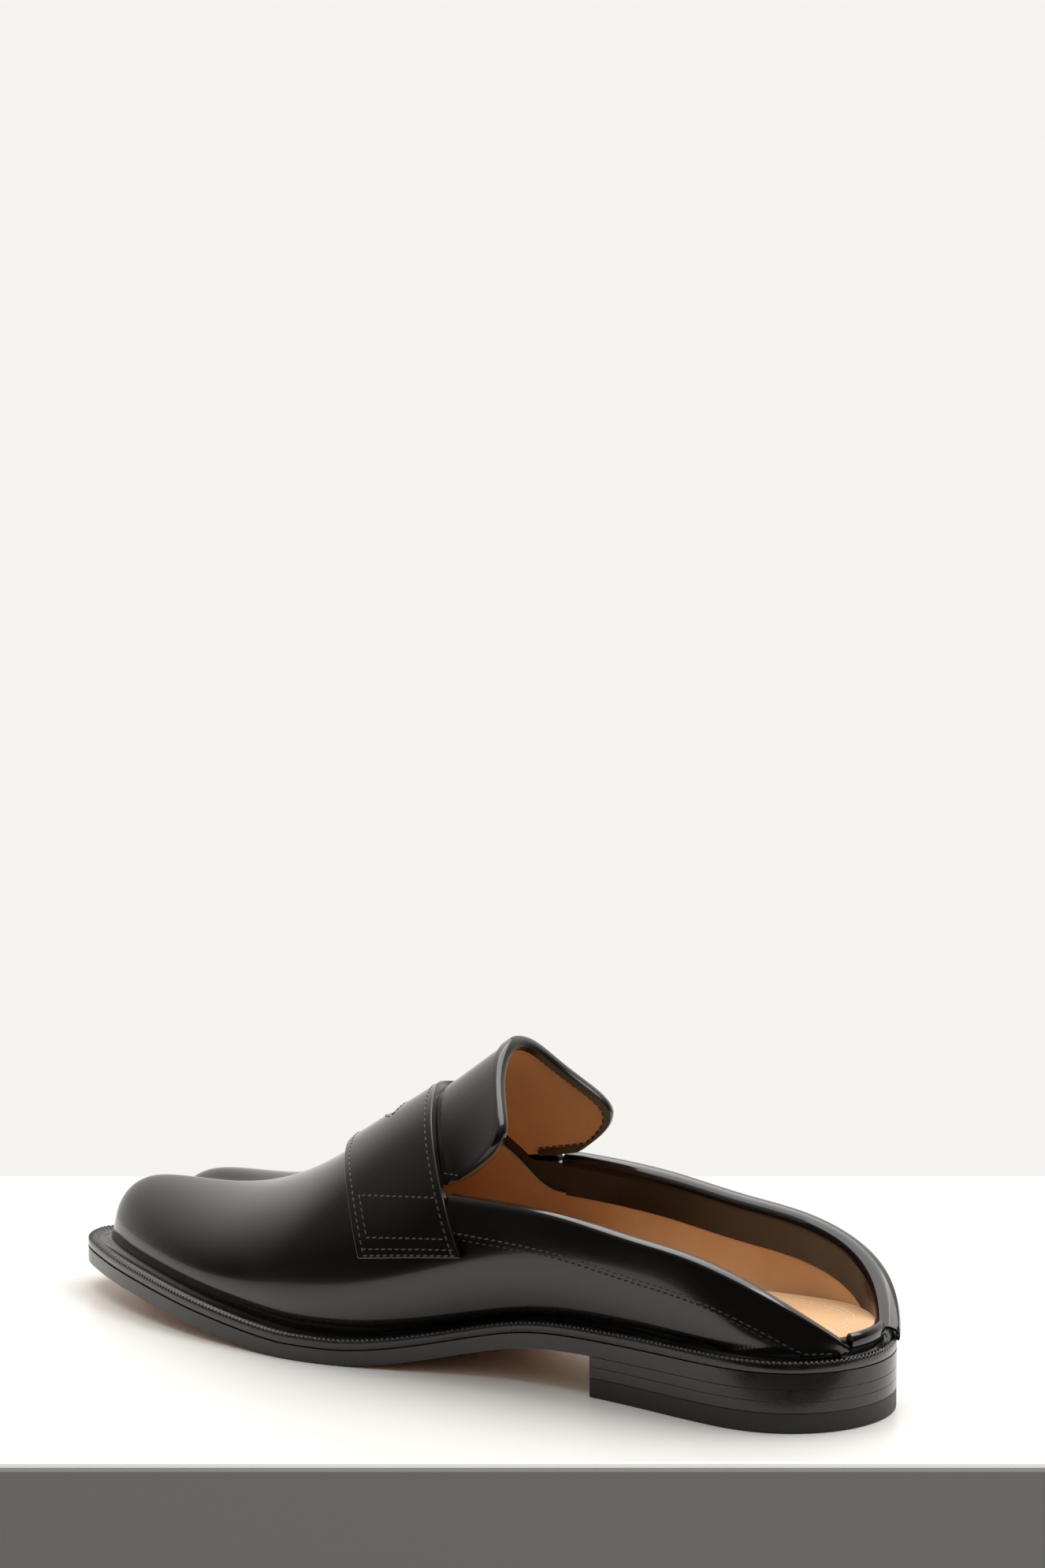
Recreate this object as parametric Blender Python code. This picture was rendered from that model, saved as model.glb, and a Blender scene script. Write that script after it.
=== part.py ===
"""Split-toe backless loafer for the left foot, built from its last outwards.

All sizes are in millimetres until the meshes are made, which are in metres. A place on the shoe is given as
x (lateral positive), along (from the heel back towards the toe) and z (up from the floor).
"""
from collections import namedtuple
from math import cos, pi, radians, sin

import bmesh
import bpy
import numpy as np
from mathutils import Matrix, Vector
from mathutils.bvhtree import BVHTree

# Driving sizes, in millimetres
LENGTH = 270.0
BALL_WIDTH = 90.0
HEEL_WIDTH = 59.4
HEEL_HEIGHT = 11.6
TOP_PIECE = 5.4
TOE_SPRING = 8.3
HEEL_BREAST = 75.0
OUTSOLE = 4.2
WELT = 3.0
LEDGE = 6.0
HEEL_LEDGE = 3.4
WALL = 2.0
INSTEP_HEIGHT = 74.5
TOE_HEIGHT = 40.0
TOPLINE_HEIGHT = 30.5
QUARTER_GAP = 19.0
INSOLE_RISE = 4.0
INSOLE_GAP = 1.5
SPLIT_DEPTH = 8.0
SPLIT_WIDTH = 4.6
SPLIT_PLACE = -6.0
COLLAR_DEPTH = 10.0
COLLAR_SHEET = 1.0
STRAP_SHEET = 2.4
STRAP_OVERLAP = 8.0
STRAP_REACH = 82.0
STRAP_RISE = 8.0
SLOT_REACH = 0.20
SLOT_WIDTH = 4.4
TONGUE_SHEET = 2.2
TONGUE_FLARE = 6.5
CREST_FLARE = 0.22
TONGUE_TUCK = 4.0
THROAT_GAP = 1.4
RAND_WIDTH = 3.6
RAND_HEIGHT = 5.0
FIT = 0.3
MM = 0.001

# Plan of the sole: share of the length, then half widths as shares of the ball width
Plan = namedtuple("Plan", "along lateral medial")
PLAN = [
    Plan(0.150, 0.328, 0.326),
    Plan(0.220, 0.306, 0.306),
    Plan(0.300, 0.292, 0.282),
    Plan(0.400, 0.313, 0.275),
    Plan(0.500, 0.410, 0.322),
    Plan(0.600, 0.489, 0.410),
    Plan(0.680, 0.482, 0.478),
    Plan(0.760, 0.446, 0.490),
    Plan(0.840, 0.378, 0.450),
    Plan(0.910, 0.293, 0.374),
    Plan(0.960, 0.212, 0.276),
    Plan(0.988, 0.145, 0.165),
]
TOE_TIP = 0.010

# Side view of the sole: underside above the floor as shares of the heel height and the toe spring
Bottom = namedtuple("Bottom", "along heel spring")
BOTTOM = [
    Bottom(0.00, 1.00, 0.00),
    Bottom(0.28, 0.97, 0.00),
    Bottom(0.36, 0.86, 0.00),
    Bottom(0.44, 0.45, 0.00),
    Bottom(0.52, 0.08, 0.00),
    Bottom(0.56, 0.00, 0.00),
    Bottom(0.62, 0.00, 0.00),
    Bottom(0.68, 0.00, 0.15),
    Bottom(0.76, 0.00, 0.42),
    Bottom(0.84, 0.00, 0.68),
    Bottom(0.92, 0.00, 0.86),
    Bottom(1.00, 0.00, 1.00),
]

# The last above the welt: crest above the floor as shares of the instep and toe heights, how far in the
# crown turns over (share of the half width), how far each side swells past the feather line (share of the
# ball width), and the depth (share of the toe height) and half width (share of the ball width) of the split
Last = namedtuple("Last", "along instep toe turn lateral medial split wide")
LAST = [
    Last(0.00, 1.30, 0.00, 0.95, 0.017, 0.017, 0.00, 0.05),
    Last(0.12, 1.33, 0.00, 0.95, 0.033, 0.033, 0.00, 0.05),
    Last(0.25, 1.35, 0.00, 0.95, 0.078, 0.078, 0.00, 0.05),
    Last(0.35, 1.32, 0.00, 0.95, 0.111, 0.111, 0.00, 0.05),
    Last(0.43, 1.19, 0.00, 0.95, 0.111, 0.122, 0.00, 0.05),
    Last(0.51, 1.00, 0.00, 0.95, 0.078, 0.100, 0.00, 0.05),
    Last(0.58, 0.83, 0.00, 0.95, 0.050, 0.067, 0.00, 0.05),
    Last(0.65, 0.67, 0.00, 0.95, 0.033, 0.040, 0.00, 0.05),
    Last(0.70, 0.29, 0.54, 0.90, 0.024, 0.030, 0.01, 0.05),
    Last(0.76, 0.00, 0.95, 0.84, 0.018, 0.020, 0.08, 0.05),
    Last(0.84, 0.00, 0.91, 0.74, 0.013, 0.013, 0.17, 0.06),
    Last(0.91, 0.00, 0.92, 0.66, 0.011, 0.011, 0.25, 0.07),
    Last(1.00, 0.00, 0.89, 0.60, 0.009, 0.009, 0.32, 0.08),
]

# Topline: distance from the quarter end along the welt (share of the length), height above the heel seat
# (share of the topline height)
Topline = namedtuple("Topline", "reach rise")
TOPLINE = [
    Topline(0.00, 0.05),
    Topline(0.05, 0.36),
    Topline(0.10, 0.60),
    Topline(0.16, 0.76),
    Topline(0.23, 0.84),
    Topline(0.31, 0.94),
    Topline(0.40, 0.99),
    Topline(0.55, 1.00),
]

# Saddle strap: share of its reach from the crest down a side, then its front and rear edge (shares of the
# length)
Strap = namedtuple("Strap", "across front rear")
STRAP = [
    Strap(0.00, 0.634, 0.522),
    Strap(0.35, 0.604, 0.482),
    Strap(0.70, 0.560, 0.441),
    Strap(1.00, 0.531, 0.415),
]

# Tongue: angle from the crest (degrees) and its free edge (share of the length)
Tongue = namedtuple("Tongue", "angle tip")
TONGUE = [
    Tongue(0.0, 0.430),
    Tongue(12.0, 0.419),
    Tongue(21.0, 0.398),
    Tongue(27.0, 0.384),
    Tongue(31.0, 0.382),
    Tongue(36.0, 0.396),
    Tongue(42.0, 0.424),
    Tongue(46.0, 0.444),
]

# How finely the curved pieces are cut
RING = 96
FINE_RING = 420
NET_COLUMNS = 84
NET_ROWS = 34
WALK = 150
UPPER_COLUMNS = 84
UPPER_ROWS = 17
COLLAR_ROWS = 4
STRAP_COLUMNS = 31
STRAP_ROWS = 8
TONGUE_COLUMNS = 31
TONGUE_ROWS = 9
STATIONS = [0.0, 0.06, 0.12, 0.18, 0.24, 0.28, 0.31, 0.34, 0.37, 0.40, 0.43, 0.46, 0.49, 0.525, 0.56, 0.62,
            0.65, 0.68, 0.72, 0.76, 0.80, 0.84, 0.88, 0.92, 0.96, 1.0]

# Where rays towards the last start, how low a collar may reach, how far behind the strap the tongue turns up
CORE_HEIGHT = 25.0
COLLAR_FOOT = 1.0
COLLAR_START = INSOLE_RISE + 2.5
TONGUE_RUN = 22.0
SLOT_END = 0.04


def spline(knots, values):
    """Natural cubic curve through the knots, as a function."""
    knots = np.array(knots, float)
    values = np.array(values, float)
    last = len(knots) - 1
    step = np.diff(knots)
    system = np.eye(last + 1)
    load = np.zeros(last + 1)
    for i in range(1, last):
        system[i, i - 1:i + 2] = step[i - 1], 2 * (step[i - 1] + step[i]), step[i]
        load[i] = 6 * ((values[i + 1] - values[i]) / step[i] - (values[i] - values[i - 1]) / step[i - 1])
    bend = np.linalg.solve(system, load)

    def at(x):
        x = np.asarray(x, float)
        i = np.clip(np.searchsorted(knots, x) - 1, 0, last - 1)
        b = np.clip((x - knots[i]) / step[i], 0, 1)
        a = 1 - b
        lift = ((a ** 3 - a) * bend[i] + (b ** 3 - b) * bend[i + 1]) * step[i] ** 2 / 6
        return a * values[i] + b * values[i + 1] + lift

    return at


def column(table, key, name, scale=1.0):
    """One named column of a table as a curve over its key column."""
    return spline([getattr(row, key) for row in table], [getattr(row, name) * scale for row in table])


def smooth_step(value):
    value = np.clip(value, 0, 1)
    return value * value * (3 - 2 * value)


def unit(vectors):
    return vectors / np.maximum(np.linalg.norm(vectors, axis=-1, keepdims=True), 1e-9)


def walk_length(points):
    """Distance walked along a line of points, up to each of them."""
    return np.concatenate([[0], np.cumsum(np.linalg.norm(np.diff(points, axis=0), axis=1))])


def plan_ring(count):
    """Closed line round the sole without the split: heel back, lateral side, toe, medial side."""
    radius = HEEL_WIDTH / 2
    heel = [(radius * sin(radians(a)), radius - radius * cos(radians(a))) for a in (25, 50, 75)]
    lateral = heel + [(row.lateral * BALL_WIDTH, row.along * LENGTH) for row in PLAN]
    medial = [(-x, y) for x, y in heel] + [(-row.medial * BALL_WIDTH, row.along * LENGTH) for row in PLAN]
    stops = [(0.0, 0.0)] + lateral + [(TOE_TIP * BALL_WIDTH, LENGTH)] + medial[::-1]
    wrap = 5
    looped = np.array(stops[-wrap:] + stops + stops[:wrap + 1])
    walked = walk_length(looped)
    across = spline(walked, looped[:, 0])
    along = spline(walked, looped[:, 1])
    first = walked[wrap]
    total = walked[wrap + len(stops)] - first
    trial = first + total * np.linspace(0, 1, 2000)
    split = np.exp(-((across(trial) - SPLIT_PLACE) / 12.0) ** 2) * (along(trial) > LENGTH / 2)
    weight = walk_length(np.column_stack([across(trial), along(trial)]))
    weight = weight + np.concatenate([[0], np.cumsum(2.2 * split[1:] * np.diff(trial))])
    even = np.interp(np.linspace(0, weight[-1], count, endpoint=False), weight, trial)
    return np.column_stack([across(even), along(even)])


def edge_ring(inset, count):
    """Closed line inside the edge of the sole by one distance or one for each point, with the split toe."""
    points = plan_ring(count)
    tangent = unit(np.roll(points, -1, axis=0) - np.roll(points, 1, axis=0))
    points = points + np.column_stack([-tangent[:, 1], tangent[:, 0]]) * np.reshape(inset, (-1, 1))
    front = smooth_step((points[:, 1] / LENGTH - 0.80) / 0.14)
    offset = (points[:, 0] - SPLIT_PLACE) / (SPLIT_WIDTH + 0.55 * inset)
    points[:, 1] -= SPLIT_DEPTH * front * np.exp(-offset ** 2)
    return points


def feather_ring(extra=0.0, count=RING):
    """The line where the upper meets the welt, or a line further in: the ledge narrows at the heel."""
    along = plan_ring(count)[:, 1]
    ledge = HEEL_LEDGE + (LEDGE - HEEL_LEDGE) * smooth_step(along / (0.4 * LENGTH))
    return edge_ring(ledge + extra, count)


heel_share = column(BOTTOM, "along", "heel", HEEL_HEIGHT)
spring_share = column(BOTTOM, "along", "spring", TOE_SPRING)


def underside(along):
    """Height of the outsole's underside above the floor."""
    share = np.asarray(along) / LENGTH
    return np.maximum(heel_share(share), 0) + np.maximum(spring_share(share), 0)


def welt_top(along):
    return underside(along) + OUTSOLE + FIT + WELT


crest_instep = column(LAST, "along", "instep", INSTEP_HEIGHT)
crest_toe = column(LAST, "along", "toe", TOE_HEIGHT)
crown_turn = column(LAST, "along", "turn")
swell_lateral = column(LAST, "along", "lateral", BALL_WIDTH)
swell_medial = column(LAST, "along", "medial", BALL_WIDTH)
split_depth = column(LAST, "along", "split", TOE_HEIGHT)
split_width = column(LAST, "along", "wide", BALL_WIDTH)
topline_rise = column(TOPLINE, "reach", "rise", TOPLINE_HEIGHT)
strap_front = column(STRAP, "across", "front", LENGTH)
strap_rear = column(STRAP, "across", "rear", LENGTH)
tongue_tip = column(TONGUE, "angle", "tip", LENGTH)


def last_height(points, feather):
    """Height of the last over plan points, rounded off towards the feather line."""
    start = feather
    side = np.roll(feather, -1, axis=0) - start
    reach = points[:, None, :] - start[None]
    share = np.clip((reach * side).sum(-1) / (side ** 2).sum(-1), 0, 1)
    inset = np.linalg.norm(reach - share[..., None] * side, axis=-1).min(axis=1)
    along = points[:, 1] / LENGTH
    lateral = feather[:len(feather) // 2]
    medial = feather[len(feather) // 2:][::-1]
    half = (np.interp(points[:, 1], lateral[:, 1], lateral[:, 0])
            - np.interp(points[:, 1], medial[:, 1], medial[:, 0])) / 2
    half = np.maximum(half, 0.24 * BALL_WIDTH)
    floor = welt_top(points[:, 1]) + FIT
    crest = crest_instep(along) + crest_toe(along)
    turned = np.clip(inset / (crown_turn(along) * half), 0, 1)
    rise = (1 - (1 - turned) ** 2.2) ** (1 / 2.0)
    groove = np.exp(-((points[:, 0] - SPLIT_PLACE) / split_width(along)) ** 2)
    height = floor + (crest - floor) * rise - split_depth(along) * groove * rise
    return np.maximum(height, floor), rise


def last_net():
    """Control points of the last: a line for each place round the feather, walked up to the spine."""
    feather = feather_ring(0.0, FINE_RING)
    tangent = unit(np.roll(feather, -1, axis=0) - np.roll(feather, 1, axis=0))
    inward = np.column_stack([-tangent[:, 1], tangent[:, 0]])
    rear = np.abs(feather[:, 0]) + 1e3 * (feather[:, 1] > LENGTH / 4)
    first = int(np.argmin(np.abs(rear - QUARTER_GAP / 2) + 1e3 * (feather[:, 0] < 0)))
    final = int(np.argmin(np.abs(rear - QUARTER_GAP / 2) + 1e3 * (feather[:, 0] > 0)))
    walked = walk_length(feather)
    weight = walked + np.concatenate([[0], np.cumsum(
        1.4 * np.exp(-((feather[1:, 0] - SPLIT_PLACE) / 9.0) ** 2) * (feather[1:, 1] > LENGTH / 2)
        * np.diff(walked))])
    stops = np.interp(np.linspace(weight[first], weight[final], NET_COLUMNS), weight, walked)
    foot = np.column_stack([np.interp(stops, walked, feather[:, i]) for i in (0, 1)])
    normal = unit(np.column_stack([np.interp(stops, walked, inward[:, i]) for i in (0, 1)]))
    split = np.exp(-((foot[:, 0] - SPLIT_PLACE) / 9.0) ** 2) * smooth_step((foot[:, 1] / LENGTH - 0.8) / 0.1)
    normal = unit(normal * (1 - 0.7 * split[:, None]) + np.array([0, -0.7]) * split[:, None])
    spine_end = 0.32 * LENGTH
    spine_start = 0.12 * LENGTH
    side = np.where(foot[:, 0] > SPLIT_PLACE, 1.0, -1.0)
    reach = np.where(np.arange(NET_COLUMNS) < NET_COLUMNS / 2, stops - stops[0], stops[-1] - stops)
    spine = spine_start + (spine_end - spine_start) * smooth_step(reach / (0.42 * LENGTH))
    middle = 2 * (np.arange(NET_COLUMNS) / (NET_COLUMNS - 1)) - 1
    target = np.column_stack([-1.5 * middle, spine])
    share = (1 - np.cos(np.linspace(0, pi / 2, WALK)))[:, None]
    net = np.zeros((NET_COLUMNS, NET_ROWS, 3))
    for i in range(NET_COLUMNS):
        far = np.linalg.norm(target[i] - foot[i])
        leave = foot[i] + normal[i] * min(0.35 * far, 12.0)
        arrive = target[i] + unit((foot[i] - target[i]) * np.array([0.4, 1.0])) * 0.45 * far
        plan = ((1 - share) ** 3 * foot[i] + 3 * share * (1 - share) ** 2 * leave
                + 3 * share ** 2 * (1 - share) * arrive + share ** 3 * target[i])
        height, rise = last_height(plan, feather)
        sideways = swell_lateral(plan[:, 1] / LENGTH) if side[i] > 0 else swell_medial(plan[:, 1] / LENGTH)
        plan = plan - normal[i] * (sideways * np.sin(pi * rise ** 0.6))[:, None]
        line = np.column_stack([plan, height])
        walked_line = walk_length(line)
        even = walked_line[-1] * np.linspace(0, 1, NET_ROWS) ** 1.25
        net[i] = np.column_stack([np.interp(even, walked_line, line[:, k]) for k in range(3)])
    for turn in range(2):
        relaxed = net.copy()
        relaxed[1:-1] = 0.25 * net[:-2] + 0.5 * net[1:-1] + 0.25 * net[2:]
        relaxed[:, 1:-1] = 0.25 * relaxed[:, :-2] + 0.5 * relaxed[:, 1:-1] + 0.25 * relaxed[:, 2:]
        relaxed[:, 0] = net[:, 0]
        net = relaxed
    return net


def basis(count, at):
    """Weights of a clamped uniform cubic curve through a row of control points."""
    at = np.clip(np.asarray(at, float), 0, 1) * (count - 1)
    weights = np.zeros((len(at), count + 2))
    low = np.minimum(at.astype(int), count - 2)
    f = at - low
    for k, part in enumerate(((1 - f) ** 3, 3 * f ** 3 - 6 * f ** 2 + 4,
                              -3 * f ** 3 + 3 * f ** 2 + 3 * f + 1, f ** 3)):
        weights[np.arange(len(at)), low + k] += part / 6
    weights[:, 1] += 2 * weights[:, 0]
    weights[:, 2] -= weights[:, 0]
    weights[:, -2] += 2 * weights[:, -1]
    weights[:, -3] -= weights[:, -1]
    return weights[:, 1:-1]


def surface(net, us, vs):
    """Points of the smooth skin over the control points, for every pair of us and vs."""
    return np.einsum("ia,abk,jb->ijk", basis(net.shape[0], us), net, basis(net.shape[1], vs), optimize=True)


def normals(grid):
    """Outward normals of a grid of points whose columns run round the feather and rows run upwards."""
    return unit(np.cross(np.gradient(grid, axis=0), np.gradient(grid, axis=1)))


def cut_heights(net, us):
    """How far up each line of the skin the upper goes before the topline or the throat stops it."""
    fine = np.linspace(0, 1, 260)
    skin = surface(net, us, fine)
    places = np.linspace(0, 1, FINE_RING)
    walked = walk_length(surface(net, places, [0.0])[:, 0])
    reach = np.interp(us, places, np.minimum(walked, walked[-1] - walked)) / LENGTH
    seat = welt_top(0.0)
    line = seat + topline_rise(reach)
    cuts = np.ones(len(us))
    for i in range(len(us)):
        open_part = (skin[i, :, 2] > line[i]) & (skin[i, :, 1] < throat(skin[i, :, 0], skin[i, :, 2]))
        found = np.flatnonzero(open_part)
        if len(found):
            cuts[i] = fine[found[0]]
    return cuts


def throat(x, z):
    """Where along the shoe the vamp ends under the strap, at a height and distance from the middle."""
    angle = np.degrees(np.abs(np.arctan2(x, z - CORE_HEIGHT)))
    return strap_rear(np.minimum(angle / (STRAP_REACH - STRAP_RISE), 1)) + STRAP_OVERLAP


def world(points):
    """From millimetres on the shoe to metres in the part's frame: toe towards -Y, origin under the middle."""
    points = np.asarray(points, float)
    return np.stack([points[..., 0], LENGTH / 2 - points[..., 1], points[..., 2]], axis=-1) * MM


def material(name, colour, roughness, coat=0.0):
    finish = bpy.data.materials.new(name)
    finish.use_nodes = True
    shader = finish.node_tree.nodes["Principled BSDF"]
    shader.inputs["Base Color"].default_value = (*colour, 1)
    shader.inputs["Roughness"].default_value = roughness
    shader.inputs["Metallic"].default_value = 0.0
    shader.inputs["Coat Weight"].default_value = coat
    return finish


def finished(name, mesh, finish):
    """Puts a bmesh into the scene as one named object, with its faces turned outwards."""
    bmesh.ops.recalc_face_normals(mesh, faces=mesh.faces)
    data = bpy.data.meshes.new(name)
    mesh.to_mesh(data)
    mesh.free()
    data.materials.append(finish)
    item = bpy.data.objects.new(name, data)
    bpy.context.scene.collection.objects.link(item)
    return item


def plate(mesh, line, low, high):
    """A flat plate over a closed line, between two heights."""
    corners = [mesh.verts.new(world((x, y, low))) for x, y in line]
    face = mesh.faces.new(corners)
    grown = bmesh.ops.extrude_face_region(mesh, geom=[face])
    raised = [v for v in grown["geom"] if isinstance(v, bmesh.types.BMVert)]
    bmesh.ops.translate(mesh, verts=raised, vec=(0, 0, (high - low) * MM))


def bend_to_shank(mesh, rise):
    """Cuts a flat plate across at the stations of the sole and lifts it to the shank and toe spring."""
    for share in STATIONS:
        geometry = mesh.verts[:] + mesh.edges[:] + mesh.faces[:]
        bmesh.ops.bisect_plane(mesh, geom=geometry, dist=1e-7, plane_co=world((0, share * LENGTH, 0)),
                               plane_no=(0, 1, 0))
    heights = underside(np.array(STATIONS) * LENGTH)
    for v in mesh.verts:
        if v.co.z > rise * MM:
            v.co.z += float(np.interp(LENGTH / 2 - v.co.y / MM, np.array(STATIONS) * LENGTH, heights)) * MM


def shell(mesh, outer, inner, slot=()):
    """Closed wall between two grids of points of the same size, with one row of cells cut through."""
    columns, rows = outer.shape[:2]
    skins = [[[mesh.verts.new(p) for p in line] for line in world(grid)] for grid in (outer, inner)]
    for skin, turn in zip(skins, (1, -1)):
        for i in range(columns - 1):
            for j in range(rows - 1):
                if (i, j) not in slot:
                    corners = [skin[i][j], skin[i + 1][j], skin[i + 1][j + 1], skin[i][j + 1]]
                    mesh.faces.new(corners[::turn])
    a, b = skins
    rim = [(i, 0) for i in range(columns)] + [(columns - 1, j) for j in range(1, rows)]
    rim += [(i, rows - 1) for i in range(columns - 2, -1, -1)] + [(0, j) for j in range(rows - 2, 0, -1)]
    rims = [rim]
    if slot:
        far = [(i, j + 1) for i, j in slot] + [(slot[-1][0] + 1, slot[-1][1] + 1)]
        rims.append(list(slot) + [(slot[-1][0] + 1, slot[-1][1])] + far[::-1])
    for rim in rims:
        for (i, j), (k, m) in zip(rim, rim[1:] + rim[:1]):
            mesh.faces.new((a[i][j], b[i][j], b[k][m], a[k][m]))


def centre_on_origin(items):
    """Moves all meshes level, so that the origin is under the middle of the whole shoe."""
    places = np.array([v.co for item in items for v in item.data.vertices])
    middle = (places.min(axis=0) + places.max(axis=0)) / 2
    for item in items:
        item.data.transform(Matrix.Translation((-middle[0], -middle[1], 0)))


def make_outsole(finish):
    mesh = bmesh.new()
    plate(mesh, edge_ring(0.0, RING), 0.0, OUTSOLE)
    bend_to_shank(mesh, -1.0)
    return finished("outsole", mesh, finish)


def make_welt(finish):
    mesh = bmesh.new()
    outer = edge_ring(0.0, RING)
    inner = feather_ring(WALL)
    low = OUTSOLE + FIT
    levels = []
    for line, z in ((outer, low), (outer, low + WELT), (inner, low + WELT), (inner, low)):
        levels.append([mesh.verts.new(world((x, y, z))) for x, y in line])
    for a, b in zip(levels, levels[1:] + levels[:1]):
        for i in range(RING):
            k = (i + 1) % RING
            mesh.faces.new((a[i], a[k], b[k], b[i]))
    bend_to_shank(mesh, -1.0)
    return finished("welt", mesh, finish)


def make_insole(finish):
    mesh = bmesh.new()
    plate(mesh, feather_ring(WALL + INSOLE_GAP), OUTSOLE + FIT, OUTSOLE + FIT + WELT + INSOLE_RISE)
    bend_to_shank(mesh, -1.0)
    return finished("insole", mesh, finish)


def heel_line():
    """Plan of the heel: the sole's edge behind the breast, closed by the straight breast."""
    points = edge_ring(0.0, RING)
    lateral = [p for p in points[:RING // 2] if p[1] < HEEL_BREAST]
    medial = [p for p in points[RING // 2:] if p[1] < HEEL_BREAST]
    half = len(points) // 2
    edge_lateral = np.interp(HEEL_BREAST, points[:half, 1], points[:half, 0])
    edge_medial = np.interp(HEEL_BREAST, points[half:][::-1][:, 1], points[half:][::-1][:, 0])
    return lateral + [(edge_lateral, HEEL_BREAST), (edge_medial, HEEL_BREAST)] + medial


def make_heel_stack(finish):
    mesh = bmesh.new()
    plate(mesh, heel_line(), TOP_PIECE + FIT, TOP_PIECE + 2 * FIT)
    bend_to_shank(mesh, TOP_PIECE + 1.5 * FIT)
    top = TOP_PIECE + 1.5 * FIT
    for v in mesh.verts:
        if v.co.z > top * MM:
            v.co.z -= (TOP_PIECE + 3 * FIT) * MM
    return finished("heel_stack", mesh, finish)


def make_top_piece(finish):
    mesh = bmesh.new()
    plate(mesh, heel_line(), 0.0, TOP_PIECE)
    return finished("top_piece", mesh, finish)


def throat_corner(net, rear, front):
    """The line of the skin that meets the corner between a topline and the throat."""
    for halving in range(14):
        middle = (rear + front) / 2
        end = wall_grid(net, [middle], np.array([1.0]))[0, 0]
        if end[1] < throat(end[0], end[2]) - FIT:
            rear = middle
        else:
            front = middle
    return (rear + front) / 2


def make_upper(net, finish):
    """Vamp and quarters as one hollow wall."""
    outer = wall_grid(net, upper_lines(net), np.linspace(0, 1, UPPER_ROWS))
    out = normals(outer)
    out[:, 0, 2] = 0
    out = unit(out)
    mesh = bmesh.new()
    shell(mesh, outer, outer - out * WALL)
    return finished("upper", mesh, finish)


def wall_grid(net, us, rows):
    """Points of the upper's outer face: its rows run from the welt to the topline or the throat."""
    cuts = cut_heights(net, us)
    return np.array([surface(net, [u], rows * cut)[0] for u, cut in zip(us, cuts)])


def upper_lines(net):
    """The lines of the skin that the upper's wall is cut along, one through each corner of the throat."""
    us = np.linspace(0, 1, UPPER_COLUMNS)
    for corner in (throat_corner(net, 0.15, 0.45), throat_corner(net, 0.85, 0.55)):
        us[np.argmin(np.abs(us - corner))] = corner
    return us


def collar_places(net, lines):
    """The lines that a collar covers: from where the wall is tall enough for it to the strap."""
    edge = wall_grid(net, lines, np.array([0, 1.0]))
    tall = np.flatnonzero(edge[:, 1, 2] - edge[:, 0, 2] > COLLAR_START)[0]
    place = np.linspace(lines[0], lines[-1], 400)
    edge = wall_grid(net, place, np.array([1.0]))[:, 0]
    limit = throat(edge[:, 0], edge[:, 2] - COLLAR_DEPTH) - STRAP_OVERLAP - 3 * FIT
    final = place[np.flatnonzero(edge[:, 1] > limit)[0]]
    return [u for u in lines[tall:] if abs(u - lines[0]) < abs(final - lines[0]) - 0.002] + [final]


def make_collar(name, net, us, finish):
    """Strip folded over a topline: an outer leaf, the fold and an inner leaf, along the given lines."""
    fine = wall_grid(net, us, np.linspace(0, 1, 80))
    out = normals(fine)
    chains = []
    for line, direction in zip(fine, out):
        walked = walk_length(line)
        up = unit(line[-1] - line[-4])
        leaves = []
        for foot in (COLLAR_FOOT, INSOLE_RISE + COLLAR_FOOT):
            depth = min(COLLAR_DEPTH, walked[-1] - foot)
            stops = walked[-1] - depth * np.linspace(1, 0, COLLAR_ROWS)
            place = np.column_stack([np.interp(stops, walked, line[:, k]) for k in range(3)])
            away = unit(np.column_stack([np.interp(stops, walked, direction[:, k]) for k in range(3)]))
            leaves.append((place, away))
        (place, away), (inside, within) = leaves
        for lift in (FIT + COLLAR_SHEET, FIT):
            outer = place + away * lift
            inner = (inside - within * (WALL + lift))[::-1]
            fold = [place[-1] + away[-1] * 0.6 * lift + up * lift,
                    inside[-1] - within[-1] * (WALL + 0.6 * lift) + up * lift]
            chains.append(np.concatenate([outer, fold, inner]))
    mesh = bmesh.new()
    shell(mesh, np.array(chains[0::2]), np.array(chains[1::2]))
    return finished(name, mesh, finish)


def core_skin(net):
    """The whole last as a tree of faces, for rays cast outwards from its core."""
    grid = surface(net, np.linspace(0, 1, 240), np.linspace(0, 1, 110))
    count = grid.shape[1]
    faces = [(i * count + j, (i + 1) * count + j, (i + 1) * count + j + 1, i * count + j + 1)
             for i in range(grid.shape[0] - 1) for j in range(count - 1)]
    return BVHTree.FromPolygons([Vector(p) for p in grid.reshape(-1, 3)], faces)


def laid(skin, angles, alongs):
    """Grid of points on the last, by angle from its crest and place along, and their outward normals."""
    points = np.zeros(alongs.shape + (3,))
    for i in range(alongs.shape[0]):
        for j in range(alongs.shape[1]):
            turn = angles[i, j]
            start = Vector((0, alongs[i, j], CORE_HEIGHT))
            hit = skin.ray_cast(start, Vector((sin(turn), 0, cos(turn))))[0]
            points[i, j] = hit
    out = normals(points)
    middle = np.array([0, 0, CORE_HEIGHT]) + points * np.array([0, 1, 0])
    flip = np.sign(((points - middle) * out).sum(-1, keepdims=True))
    return points, out * flip


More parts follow.
